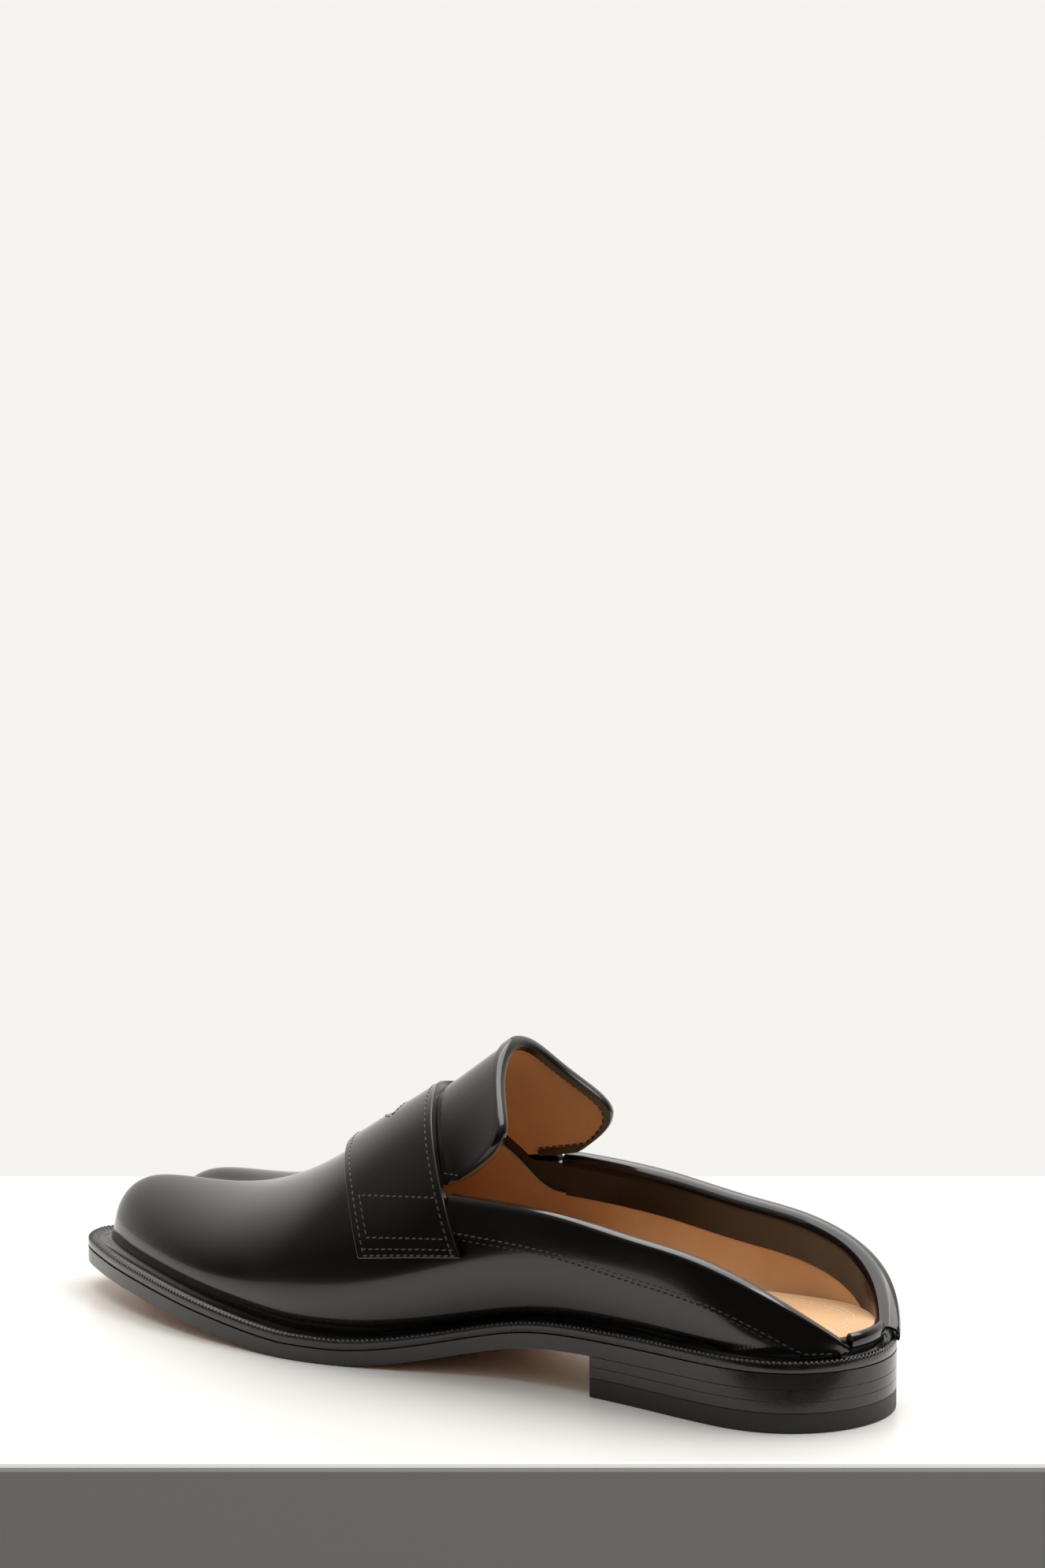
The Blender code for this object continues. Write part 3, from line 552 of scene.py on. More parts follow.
def laid_grid(points, merged=False):
    """A grid of faces whose corners are moved onto rows of points, in millimetres on the shoe."""
    columns, rows = points.shape[:2]
    mesh = bmesh.new()
    mesh.loops.layers.uv.new("UVMap")
    bmesh.ops.create_grid(mesh, x_segments=columns - 1, y_segments=rows - 1, size=0.5, calc_uvs=True)
    spots = placed(points)
    for v in mesh.verts:
        v.co = spots[round((v.co.x + 0.5) * (columns - 1)), round((v.co.y + 0.5) * (rows - 1))]
    if merged:
        bmesh.ops.remove_doubles(mesh, verts=mesh.verts, dist=1e-7)
        bmesh.ops.recalc_face_normals(mesh, faces=mesh.faces)
    return mesh


def ledge_width(count):
    """Width of the ledge outside the upper: it narrows round the heel."""
    along = plan_ring(count)[:, 1]
    return HEEL_LEDGE + (LEDGE - HEEL_LEDGE) * smooth_step(along / (0.4 * LENGTH))


def welt_top(along):
    return underside(along) + OUTSOLE + FIT + WELT


girth = walk_length(edge_ring(0.0, FINE_RING))[-1]
notches = round(girth / NOTCH_PITCH)
count = notches * NOTCH_SAMPLES
ledge = ledge_width(count)
outer = edge_ring(0.0, count)
walked = walk_length(outer)
rails = []
for rail in RAILS + RAILS[:1]:
    line = edge_ring(rail.inset * ledge, count)
    phase = walked / NOTCH_PITCH + NOTCH_SLANT * rail.inset * ledge / NOTCH_PITCH
    ridge = np.abs(np.sin(pi * phase)) ** 0.7
    height = welt_top(line[:, 1]) + rail.height - NOTCH_DEPTH * rail.notch * (1 - ridge)
    rails.append(np.column_stack([line, height]))
rails = np.array(rails).transpose(1, 0, 2)
rails = np.concatenate([rails, rails[:1]])
welt_ink = leather("welt_ink", (0.008, 0.007, 0.006), (0.015, 0.012, 0.010), (0.22, 0.36), 1200.0, 80.0, 0.03,
                   coat=0.35, coat_roughness=0.12)
piece("wheeled_welt", laid_grid(rails, merged=True), [welt_ink], "welt", sharp=60)

# Upper: vamp and quarters in one polished black calf, lasted over a split-toe last and pulled under the welt.
# The skin is a smooth one over the same last as the solids.
INSTEP_HEIGHT = 74.5
TOE_HEIGHT = 40.0
TOPLINE_HEIGHT = 30.5
QUARTER_GAP = 19.0
STRAP_OVERLAP = 8.0
STRAP_REACH = 82.0
STRAP_RISE = 8.0
NET_COLUMNS = 84
NET_ROWS = 34
WALK = 150
CORE_HEIGHT = 25.0
UPPER_SHEET = 1.3
LASTED = 1.3

Last = namedtuple("Last", "along instep toe turn lateral medial split wide")
LAST = [
    Last(0.00, 1.30, 0.00, 0.95, 0.017, 0.017, 0.00, 0.05),
    Last(0.12, 1.33, 0.00, 0.95, 0.033, 0.033, 0.00, 0.05),
    Last(0.25, 1.35, 0.00, 0.95, 0.078, 0.078, 0.00, 0.05),
    Last(0.35, 1.32, 0.00, 0.95, 0.111, 0.111, 0.00, 0.05),
    Last(0.43, 1.19, 0.00, 0.95, 0.111, 0.122, 0.00, 0.05),
    Last(0.51, 1.00, 0.00, 0.95, 0.078, 0.100, 0.00, 0.05),
    Last(0.58, 0.83, 0.00, 0.95, 0.050, 0.067, 0.00, 0.05),
    Last(0.65, 0.67, 0.00, 0.95, 0.033, 0.040, 0.00, 0.05),
    Last(0.70, 0.29, 0.54, 0.90, 0.024, 0.030, 0.01, 0.05),
    Last(0.76, 0.00, 0.95, 0.84, 0.018, 0.020, 0.08, 0.05),
    Last(0.84, 0.00, 0.91, 0.74, 0.013, 0.013, 0.17, 0.06),
    Last(0.91, 0.00, 0.92, 0.66, 0.011, 0.011, 0.25, 0.07),
    Last(1.00, 0.00, 0.89, 0.60, 0.009, 0.009, 0.32, 0.08),
]
Topline = namedtuple("Topline", "reach rise")
TOPLINE = [
    Topline(0.00, 0.05),
    Topline(0.05, 0.36),
    Topline(0.10, 0.60),
    Topline(0.16, 0.76),
    Topline(0.23, 0.84),
    Topline(0.31, 0.94),
    Topline(0.40, 0.99),
    Topline(0.55, 1.00),
]
Strap = namedtuple("Strap", "across front rear")
STRAP = [
    Strap(0.00, 0.634, 0.522),
    Strap(0.35, 0.604, 0.482),
    Strap(0.70, 0.560, 0.441),
    Strap(1.00, 0.531, 0.415),
]
crest_instep = column(LAST, "along", "instep", INSTEP_HEIGHT)
crest_toe = column(LAST, "along", "toe", TOE_HEIGHT)
crown_turn = column(LAST, "along", "turn")
swell_lateral = column(LAST, "along", "lateral", BALL_WIDTH)
swell_medial = column(LAST, "along", "medial", BALL_WIDTH)
split_depth = column(LAST, "along", "split", TOE_HEIGHT)
split_width = column(LAST, "along", "wide", BALL_WIDTH)
topline_rise = column(TOPLINE, "reach", "rise", TOPLINE_HEIGHT)
strap_front = column(STRAP, "across", "front", LENGTH)
strap_rear = column(STRAP, "across", "rear", LENGTH)


def feather_ring(extra=0.0, count=FINE_RING):
    """The line where the upper meets the welt, or a line further in."""
    return edge_ring(ledge_width(count) + extra, count)


def last_height(points, feather):
    """Height of the last over plan points, rounded off towards the feather line."""
    side = np.roll(feather, -1, axis=0) - feather
    reach = points[:, None, :] - feather[None]
    share = np.clip((reach * side).sum(-1) / (side ** 2).sum(-1), 0, 1)
    inset = np.linalg.norm(reach - share[..., None] * side, axis=-1).min(axis=1)
    along = points[:, 1] / LENGTH
    lateral = feather[:len(feather) // 2]
    medial = feather[len(feather) // 2:][::-1]
    half = (np.interp(points[:, 1], lateral[:, 1], lateral[:, 0])
            - np.interp(points[:, 1], medial[:, 1], medial[:, 0])) / 2
    half = np.maximum(half, 0.24 * BALL_WIDTH)
    floor = welt_top(points[:, 1]) + FIT
    crest = crest_instep(along) + crest_toe(along)
    turned = np.clip(inset / (crown_turn(along) * half), 0, 1)
    rise = (1 - (1 - turned) ** 2.2) ** (1 / 2.0)
    groove = np.exp(-((points[:, 0] - SPLIT_PLACE) / split_width(along)) ** 2)
    height = floor + (crest - floor) * rise - split_depth(along) * groove * rise
    return np.maximum(height, floor), rise


def last_net():
    """Control points of the last: a line for each place round the feather, walked up to the spine."""
    feather = feather_ring()
    tangent = unit(np.roll(feather, -1, axis=0) - np.roll(feather, 1, axis=0))
    inward = np.column_stack([-tangent[:, 1], tangent[:, 0]])
    rear = np.abs(feather[:, 0]) + 1e3 * (feather[:, 1] > LENGTH / 4)
    first = int(np.argmin(np.abs(rear - QUARTER_GAP / 2) + 1e3 * (feather[:, 0] < 0)))
    final = int(np.argmin(np.abs(rear - QUARTER_GAP / 2) + 1e3 * (feather[:, 0] > 0)))
    walked = walk_length(feather)
    weight = walked + np.concatenate([[0], np.cumsum(
        1.4 * np.exp(-((feather[1:, 0] - SPLIT_PLACE) / 9.0) ** 2) * (feather[1:, 1] > LENGTH / 2)
        * np.diff(walked))])
    stops = np.interp(np.linspace(weight[first], weight[final], NET_COLUMNS), weight, walked)
    foot = np.column_stack([np.interp(stops, walked, feather[:, i]) for i in (0, 1)])
    normal = unit(np.column_stack([np.interp(stops, walked, inward[:, i]) for i in (0, 1)]))
    cleft = np.exp(-((foot[:, 0] - SPLIT_PLACE) / 9.0) ** 2) * smooth_step((foot[:, 1] / LENGTH - 0.8) / 0.1)
    normal = unit(normal * (1 - 0.7 * cleft[:, None]) + np.array([0, -0.7]) * cleft[:, None])
    spine_end = 0.32 * LENGTH
    spine_start = 0.12 * LENGTH
    side = np.where(foot[:, 0] > SPLIT_PLACE, 1.0, -1.0)
    reach = np.where(np.arange(NET_COLUMNS) < NET_COLUMNS / 2, stops - stops[0], stops[-1] - stops)
    spine = spine_start + (spine_end - spine_start) * smooth_step(reach / (0.42 * LENGTH))
    middle = 2 * (np.arange(NET_COLUMNS) / (NET_COLUMNS - 1)) - 1
    target = np.column_stack([-1.5 * middle, spine])
    share = (1 - np.cos(np.linspace(0, pi / 2, WALK)))[:, None]
    net = np.zeros((NET_COLUMNS, NET_ROWS, 3))
    for i in range(NET_COLUMNS):
        far = np.linalg.norm(target[i] - foot[i])
        leave = foot[i] + normal[i] * min(0.35 * far, 12.0)
        arrive = target[i] + unit((foot[i] - target[i]) * np.array([0.4, 1.0])) * 0.45 * far
        plan = ((1 - share) ** 3 * foot[i] + 3 * share * (1 - share) ** 2 * leave
                + 3 * share ** 2 * (1 - share) * arrive + share ** 3 * target[i])
        height, rise = last_height(plan, feather)
        sideways = swell_lateral(plan[:, 1] / LENGTH) if side[i] > 0 else swell_medial(plan[:, 1] / LENGTH)
        plan = plan - normal[i] * (sideways * np.sin(pi * rise ** 0.6))[:, None]
        line = np.column_stack([plan, height])
        walked_line = walk_length(line)
        even = walked_line[-1] * np.linspace(0, 1, NET_ROWS) ** 1.25
        net[i] = np.column_stack([np.interp(even, walked_line, line[:, k]) for k in range(3)])
    for turn in range(2):
        relaxed = net.copy()
        relaxed[1:-1] = 0.25 * net[:-2] + 0.5 * net[1:-1] + 0.25 * net[2:]
        relaxed[:, 1:-1] = 0.25 * relaxed[:, :-2] + 0.5 * relaxed[:, 1:-1] + 0.25 * relaxed[:, 2:]
        relaxed[:, 0] = net[:, 0]
        net = relaxed
    return net


def basis(count, at):
    """Weights of a clamped uniform cubic curve through a row of control points."""
    at = np.clip(np.asarray(at, float), 0, 1) * (count - 1)
    weights = np.zeros((len(at), count + 2))
    low = np.minimum(at.astype(int), count - 2)
    f = at - low
    for k, part in enumerate(((1 - f) ** 3, 3 * f ** 3 - 6 * f ** 2 + 4,
                              -3 * f ** 3 + 3 * f ** 2 + 3 * f + 1, f ** 3)):
        weights[np.arange(len(at)), low + k] += part / 6
    weights[:, 1] += 2 * weights[:, 0]
    weights[:, 2] -= weights[:, 0]
    weights[:, -2] += 2 * weights[:, -1]
    weights[:, -3] -= weights[:, -1]
    return weights[:, 1:-1]


def surface(net, us, vs):
    """Points of the smooth skin over the control points, for every pair of us and vs."""
    return np.einsum("ia,abk,jb->ijk", basis(net.shape[0], us), net, basis(net.shape[1], vs), optimize=True)


def spots(net, us, vs):
    """Points of the skin and its outward normals, for us and vs taken together."""
    def at(u, v):
        return np.einsum("pa,pb,abk->pk", basis(net.shape[0], u), basis(net.shape[1], v), net, optimize=True)
    us = np.asarray(us, float)
    vs = np.asarray(vs, float)
    step = 0.002
    across = at(us + step, vs) - at(us - step, vs)
    upward = at(us, vs + step) - at(us, vs - step)
    return at(us, vs), unit(np.cross(across, upward))


def normals(grid):
    """Outward normals of a grid of points whose columns run round the feather and rows run upwards."""
    return unit(np.cross(np.gradient(grid, axis=0), np.gradient(grid, axis=1)))


def throat(x, z):
    """Where along the shoe the vamp ends under the strap, at a height and distance from the middle."""
    angle = np.degrees(np.abs(np.arctan2(x, z - CORE_HEIGHT)))
    return strap_rear(np.minimum(angle / (STRAP_REACH - STRAP_RISE), 1)) + STRAP_OVERLAP


def cut_heights(net, us):
    """How far up each line of the skin the upper goes before the topline or the throat stops it."""
    fine = np.linspace(0, 1, 260)
    skin = surface(net, us, fine)
    places = np.linspace(0, 1, FINE_RING)
    walked = walk_length(surface(net, places, [0.0])[:, 0])
    reach = np.interp(us, places, np.minimum(walked, walked[-1] - walked)) / LENGTH
    line = (welt_top(0.0) + topline_rise(reach))[:, None]
    over = skin[..., 2] - line
    behind = throat(skin[..., 0], skin[..., 2]) - skin[..., 1]
    open_part = np.minimum(over, behind)
    cuts = np.ones(len(us))
    for i in range(len(us)):
        found = np.flatnonzero(open_part[i] > 0)
        if len(found) and found[0]:
            k = found[0]
            low, high = open_part[i, k - 1], open_part[i, k]
            cuts[i] = fine[k - 1] + (fine[k] - fine[k - 1]) * (-low) / (high - low)
    return cuts


def wall_grid(net, us, rows):
    """Points of the upper's outer face: its rows run from the welt to the topline or the throat."""
    cuts = cut_heights(net, us)
    return np.array([surface(net, [u], rows * cut)[0] for u, cut in zip(us, cuts)])


def outward(grid):
    """Normals of the upper's wall, level along the welt."""
    out = normals(grid)
    out[:, 0, 2] = 0
    return unit(out)


def sheet(item, thickness, rim_material=0, back_material=0):
    """Gives a skin its thickness, inwards."""
    solid = item.modifiers.new("thickness", "SOLIDIFY")
    solid.thickness = thickness * MM
    solid.offset = -1.0
    solid.material_offset = back_material
    solid.material_offset_rim = rim_material
    return item


def facing(mesh, points, outs):
    """Turns a skin so that its faces point outwards."""
    mesh.normal_update()
    mesh.faces.ensure_lookup_table()
    face = mesh.faces[len(mesh.faces) // 2]
    centre = np.array(face.calc_center_median())
    flat = placed(points).reshape(-1, 3)
    nearest = int(np.argmin(((flat - centre) ** 2).sum(axis=1)))
    out = outs.reshape(-1, 3)[nearest] * np.array([1, -1, 1])
    if np.dot(np.array(face.normal), out) < 0:
        bmesh.ops.reverse_faces(mesh, faces=mesh.faces)
    return mesh


last = last_net()
black_calf = leather("black_calf", (0.0065, 0.0055, 0.0048), (0.0100, 0.0085, 0.0072), (0.13, 0.20), 2200.0, 30.0,
                     0.010, coat=0.35, coat_roughness=0.06)
us = np.linspace(0, 1, 421)
outer = wall_grid(last, us, np.linspace(0, 1, 91))
upper_out = outward(outer)
outer[:, 0, 2] -= LASTED
upper = piece("vamp_and_quarters", facing(laid_grid(outer), outer, upper_out), [black_calf], "upper")
rounded(sheet(upper, UPPER_SHEET), 0.25, segments=2)

# Lining: soft tan calf pasted inside the upper. It stops under the black facing of the topline, where its raw
# edge shows light. One row of stitches runs just below that edge; the lining itself adds no stitches.
LINING_SHEET = 0.8
LINING_DROP = 9.6
LINING_TUCK = 4.0

tan_lining = leather("tan_lining", (0.60, 0.33, 0.155), (0.70, 0.40, 0.20), (0.42, 0.55), 1600.0, 35.0, 0.03)
raw_edge = leather("raw_edge", (0.75, 0.55, 0.36), (0.85, 0.66, 0.46), (0.6, 0.7), 2500.0, 200.0, 0.05)
cuts = cut_heights(last, us)
fine_rows = np.linspace(0, 1, 161)
chains = []
for u, cut in zip(us, cuts):
    line = surface(last, [u], fine_rows * cut)[0]
    walked = walk_length(line)
    at_throat = abs(line[-1, 1] - throat(line[-1, 0], line[-1, 2])) < 0.5
    stop = max(walked[-1] - (LINING_TUCK if at_throat else LINING_DROP), 0.5)
    chains.append(stop)
chains = np.array(chains)
LINING_EASE = 6
kernel = np.hanning(2 * LINING_EASE + 3)[1:-1]
chains = np.convolve(np.pad(chains, LINING_EASE, mode="edge"), kernel / kernel.sum(), mode="valid")
lining_grid = []
for u, cut, stop in zip(us, cuts, chains):
    line = surface(last, [u], fine_rows * cut)[0]
    walked = walk_length(line)
    stops = np.linspace(0, stop, 60)
    lining_grid.append(np.column_stack([np.interp(stops, walked, line[:, k]) for k in range(3)]))
lining_grid = np.array(lining_grid)
lining_out = outward(lining_grid)
inside = lining_grid - lining_out * (UPPER_SHEET + 0.05)
inside[:, 0, 2] -= LASTED
lining = piece("lining", facing(laid_grid(inside), inside, lining_out), [tan_lining, raw_edge])
rounded(sheet(lining, LINING_SHEET, rim_material=1), 0.15, segments=2)

# Topline collars: strips of the same black calf folded over the topline and sewn through, one on each side
# from the quarter end to the strap. Two close rows of stitches run along the lower edge.
COLLAR_DEPTH = 10.0
COLLAR_SHEET = 1.0
COLLAR_FOOT = 0.2
INSOLE_RISE = 4.0
COLLAR_START = 1.0
COLLAR_TUCK = 3.0
THREAD_PITCH = 2.1
THREAD_LENGTH = 1.6
THREAD_WIDTH = 0.5


def collar_span(first, final):
    """The lines that a collar covers: from where the wall is tall enough for it to the strap."""
    place = np.linspace(first, final, 600)
    edge = wall_grid(last, place, np.array([0.0, 1.0]))
    tall = np.flatnonzero(edge[:, 1, 2] - edge[:, 0, 2] > COLLAR_START)[0]
    limit = throat(edge[:, 1, 0], edge[:, 1, 2] - COLLAR_DEPTH) - STRAP_OVERLAP + COLLAR_TUCK
    ends = np.flatnonzero(edge[:, 1, 1] > limit)[0]
    return place[tall], place[ends]


def topline_spots(us, drop, lift):
    """Points at a distance below the topline, walked on the wall, and raised off it, with their normals."""
    places = []
    for u, cut in zip(us, cut_heights(last, us)):
        line = surface(last, [u], fine_rows * cut)[0]
        walked = walk_length(line)
        places.append(np.interp(max(walked[-1] - drop, 0.5), walked, fine_rows * cut))
    points, out = spots(last, us, places)
    return points + out * lift, out


def collar_skin(us):
    """Outer face of a folded strip: up its outer leaf, over the fold and down inside."""
    chains = []
    fine = wall_grid(last, us, np.linspace(0, 1, 120))
    out = normals(fine)
    for line, direction in zip(fine, out):
        walked = walk_length(line)
        up = unit(line[-1] - line[-5])
        leaves = []
        for foot in (COLLAR_FOOT, COLLAR_FOOT):
            depth = min(COLLAR_DEPTH, walked[-1] - foot)
            stops = walked[-1] - depth * np.linspace(1, 0, 9)
            place = np.column_stack([np.interp(stops, walked, line[:, k]) for k in range(3)])
            away = unit(np.column_stack([np.interp(stops, walked, direction[:, k]) for k in range(3)]))
            leaves.append((place, away))
        (place, away), (inner, within) = leaves
        lift = FIT + COLLAR_SHEET
        middle = (place[-1] + away[-1] * lift + inner[-1] - within[-1] * (WALL + lift)) / 2
        half = away[-1] * (WALL / 2 + lift)
        fold = [middle + half * cos(a) + up * (1.35 * sin(a)) for a in np.radians((30, 60, 90, 120, 150))]
        chains.append(np.concatenate([place + away * lift, fold, (inner - within * (WALL + lift))[::-1]]))
    return np.array(chains)


def sew(mesh, points, outs, pitch=THREAD_PITCH, length=THREAD_LENGTH, width=THREAD_WIDTH, slant=6.0):
    """A row of stitches along a line of points on a surface with the given normals."""
    walked = walk_length(points)
    for stop in np.arange(pitch / 2, walked[-1], pitch):
        place = [np.interp(stop, walked, points[:, k]) for k in range(3)]
        ahead_of = [np.interp(min(stop + 0.5, walked[-1]), walked, points[:, k]) for k in range(3)]
        behind_of = [np.interp(max(stop - 0.5, 0), walked, points[:, k]) for k in range(3)]
        out = Vector([np.interp(stop, walked, outs[:, k]) for k in range(3)])
        out.y = -out.y
        out.normalize()
        run = Vector(placed(ahead_of)) - Vector(placed(behind_of))
        run = (run - out * run.dot(out)).normalized()
        run.rotate(Matrix.Rotation(radians(slant), 3, out))
        across = out.cross(run)
        turn = Matrix((run, across, out)).transposed().to_4x4()
        size = Matrix.Diagonal((length * MM, width * MM, 0.8 * width * MM, 1))
        spot_matrix = Matrix.Translation(Vector(placed(place)) + out * 0.1 * width * MM) @ turn @ size
        bmesh.ops.create_uvsphere(mesh, u_segments=6, v_segments=5, radius=0.5, matrix=spot_matrix)


thread, tree, shader = shader_nodes("waxed_thread")
twist = tree.nodes.new("ShaderNodeTexNoise")
twist.inputs["Scale"].default_value = 3000.0
place = tree.nodes.new("ShaderNodeTexCoord")
tone = tree.nodes.new("ShaderNodeMix")
tone.data_type = "RGBA"
tone.inputs["A"].default_value = (0.025, 0.022, 0.020, 1)
tone.inputs["B"].default_value = (0.070, 0.064, 0.058, 1)
tree.links.new(place.outputs["Object"], twist.inputs["Vector"])
tree.links.new(twist.outputs["Fac"], tone.inputs["Factor"])
tree.links.new(tone.outputs["Result"], shader.inputs["Base Color"])
shader.inputs["Roughness"].default_value = 0.3
shader.inputs["Sheen Weight"].default_value = 0.2

for side, ends in (("lateral", (0.0, 0.5)), ("medial", (1.0, 0.5))):
    tall, end = collar_span(*ends)
    us = np.linspace(tall, end, 190)
    skin_points = collar_skin(us)
    outs = normals(skin_points) * (1 if side == "lateral" else -1)
    name = "topline_strip_" + side
    item = piece(name, facing(laid_grid(skin_points), skin_points, outs), [black_calf],
                 "collar_" + side)
    rounded(sheet(item, COLLAR_SHEET), 0.3, segments=3)
    mesh = bmesh.new()
    for drop, lift in ((COLLAR_DEPTH - 0.8, FIT + COLLAR_SHEET), (COLLAR_DEPTH + 0.9, 0.0)):
        points, out = topline_spots(np.linspace(tall + 0.008 * (1 if side == "lateral" else -1), end, 120),
                                    drop, lift)
        sew(mesh, points, out)
    piece("topline_stitches_" + side, mesh, [thread])

# Saddle strap: a stiff piece of the same calf laid over the instep, its ends sewn down on both sides. A slot
# is cut across its crest, and rows of stitches follow its edges.
STRAP_SHEET = 2.4
SLOT_REACH = 0.23
SLOT_WIDTH = 4.8
SLOT_END = 0.04
STRAP_NET = (41, 13)
STRAP_HALF_ROWS = 22
STRAP_COLUMNS = 201


def core_skin(net):
    """The whole last as a tree of faces, for rays cast outwards from its core."""
    grid = surface(net, np.linspace(0, 1, 300), np.linspace(0, 1, 130))
    count = grid.shape[1]
    faces = [(i * count + j, (i + 1) * count + j, (i + 1) * count + j + 1, i * count + j + 1)
             for i in range(grid.shape[0] - 1) for j in range(count - 1)]
    return BVHTree.FromPolygons([Vector(p) for p in grid.reshape(-1, 3)], faces)


def laid(skin, angles, alongs):
    """Grid of points on the last, by angle from its crest and place along, and their outward normals."""
    points = np.zeros(alongs.shape + (3,))
    for i in range(alongs.shape[0]):
        for j in range(alongs.shape[1]):
            turn = angles[i, j]
            start = Vector((0, alongs[i, j], CORE_HEIGHT))
            points[i, j] = skin.ray_cast(start, Vector((sin(turn), 0, cos(turn))))[0]
    out = normals(points)
    middle = np.array([0, 0, CORE_HEIGHT]) + points * np.array([0, 1, 0])
    flip = np.sign(((points - middle) * out).sum(-1, keepdims=True))
    return points, out * flip


skin = core_skin(last)
across = np.linspace(-1, 1, STRAP_NET[0])
rows = np.linspace(0, 1, STRAP_NET[1])
front = strap_front(np.abs(across))[:, None]
rear = strap_rear(np.abs(across))[:, None]
angles = np.radians(across[:, None] * (STRAP_REACH - STRAP_RISE * (1 - rows)))
points, out = laid(skin, angles, rear + (front - rear) * rows)
strap_net = points + out * (FIT + STRAP_SHEET)
for turn in range(3):
    strap_net[:, 1:-1] = 0.25 * strap_net[:, :-2] + 0.5 * strap_net[:, 1:-1] + 0.25 * strap_net[:, 2:]
    strap_net[1:-1] = 0.25 * strap_net[:-2] + 0.5 * strap_net[1:-1] + 0.25 * strap_net[2:]

across = np.linspace(-1, 1, STRAP_COLUMNS)
width = strap_front(np.abs(across)) - strap_rear(np.abs(across))
thin = 1.0 / (2 * STRAP_HALF_ROWS)
bow = np.sqrt(np.clip(1 - (across / SLOT_REACH) ** 2, SLOT_END, 1))
gap = np.where(np.abs(across) < SLOT_REACH, np.maximum(SLOT_WIDTH * bow / width, thin), thin)
half_rows = np.linspace(0, 1, STRAP_HALF_ROWS)
strap_points = []
for a, g in zip(across, gap):
    vs = np.concatenate([(0.5 - g / 2) * half_rows, 0.5 + g / 2 + (0.5 - g / 2) * half_rows])
    strap_points.append(surface(strap_net, [(a + 1) / 2], vs)[0])
strap_points = np.array(strap_points)
outs = normals(strap_points)
middle = np.array([0, 0, CORE_HEIGHT]) + strap_points * np.array([0, 1, 0])
outs = outs * np.sign(((strap_points - middle) * outs).sum(-1, keepdims=True))
mesh = laid_grid(strap_points)
layer = mesh.loops.layers.uv.active
opened = []
for face in mesh.faces:
    u = sum(loop[layer].uv.x for loop in face.loops) / 4 * 2 - 1
    v = sum(loop[layer].uv.y for loop in face.loops) / 4 * (2 * STRAP_HALF_ROWS - 1)
    if abs(u) < SLOT_REACH and abs(v - (STRAP_HALF_ROWS - 0.5)) < 0.4:
        opened.append(face)
bmesh.ops.delete(mesh, geom=opened, context="FACES")
facing(mesh, strap_points, outs)
strap = piece("penny_strap", mesh, [black_calf], "saddle_strap")
rounded(sheet(strap, STRAP_SHEET), 0.45, segments=3)


def strap_line(stops, steps=60):
    """Points and normals on the strap along straight runs between places (across, share from rear to front)."""
    across = []
    shares = []
    for (a, v), (b, w) in zip(stops, stops[1:]):
        part = np.linspace(0, 1, steps)
        across += list(a + (b - a) * part)
        shares += list(v + (w - v) * part)
    points, out = spots(strap_net, (np.array(across) + 1) / 2, shares)
    middle = np.array([0, 0, CORE_HEIGHT]) + points * np.array([0, 1, 0])
    return points, out * np.sign(((points - middle) * out).sum(-1, keepdims=True))


EDGE_ROW = 0.07
BOX_TOP = 0.70
BOX_FRONT = 0.86
mesh = bmesh.new()
for row in (EDGE_ROW, 1 - EDGE_ROW):
    sew(mesh, *strap_line([(-0.98, row), (0.98, row)], 200))
for side in (-1, 1):
    for row in (0.955, 0.985):
        sew(mesh, *strap_line([(row * side, 0.03), (row * side, 0.97)]))
    sew(mesh, *strap_line([(BOX_TOP * side, EDGE_ROW), (BOX_TOP * side, BOX_FRONT),
                           (0.90 * side, BOX_FRONT), (0.90 * side, EDGE_ROW)]))
for turn in (-1, 1):
    reach = SLOT_REACH + 0.03
    arc = np.linspace(-1, 1, 80)
    half = (SLOT_WIDTH / 2 + 1.6) / 30.0 * np.sqrt(np.clip(1 - arc ** 2, 0.0, 1))
    points, out = spots(strap_net, (arc * reach + 1) / 2, 0.5 + turn * half)
    middle = np.array([0, 0, CORE_HEIGHT]) + points * np.array([0, 1, 0])
    sew(mesh, points, out * np.sign(((points - middle) * out).sum(-1, keepdims=True)), slant=0.0)
piece("strap_stitches", mesh, [thread])

# Tongue: a flared flap that rises behind the strap, black calf outside and tan inside, bound with a narrow
# black strip that is sewn all round its free edge.
TONGUE_SHEET = 2.2
TONGUE_FLARE = 6.5
CREST_FLARE = 0.22
TONGUE_TUCK = 4.0
THROAT_GAP = 1.4
TONGUE_RUN = 22.0
TONGUE_NET = (41, 15)
TONGUE_GRID = (141, 61)
BINDING = 1.9
BINDING_SHEET = 0.35

Tongue = namedtuple("Tongue", "angle tip")
TONGUE = [
    Tongue(0.0, 0.430),
    Tongue(12.0, 0.419),
    Tongue(21.0, 0.398),
    Tongue(27.0, 0.384),
    Tongue(31.0, 0.382),
    Tongue(36.0, 0.396),
    Tongue(42.0, 0.424),
    Tongue(46.0, 0.444),
]
tongue_tip = column(TONGUE, "angle", "tip", LENGTH)
reach = TONGUE[-1].angle
angles = np.linspace(TONGUE_TUCK - reach, reach, TONGUE_NET[0])
rows = np.linspace(0, 1, TONGUE_NET[1])
base = strap_rear(np.abs(angles) / (STRAP_REACH - STRAP_RISE))[:, None] + STRAP_OVERLAP - THROAT_GAP
alongs = base + (tongue_tip(np.abs(angles))[:, None] - base) * rows
points, out = laid(skin, np.repeat(np.radians(angles)[:, None], TONGUE_NET[1], axis=1), alongs)
behind = np.clip((base - STRAP_OVERLAP - alongs) / TONGUE_RUN, 0, 2)
flare = TONGUE_FLARE * behind ** 1.6 * (CREST_FLARE + (np.abs(angles) / reach)[:, None] ** 1.5)
tongue_net = points + out * flare[..., None]
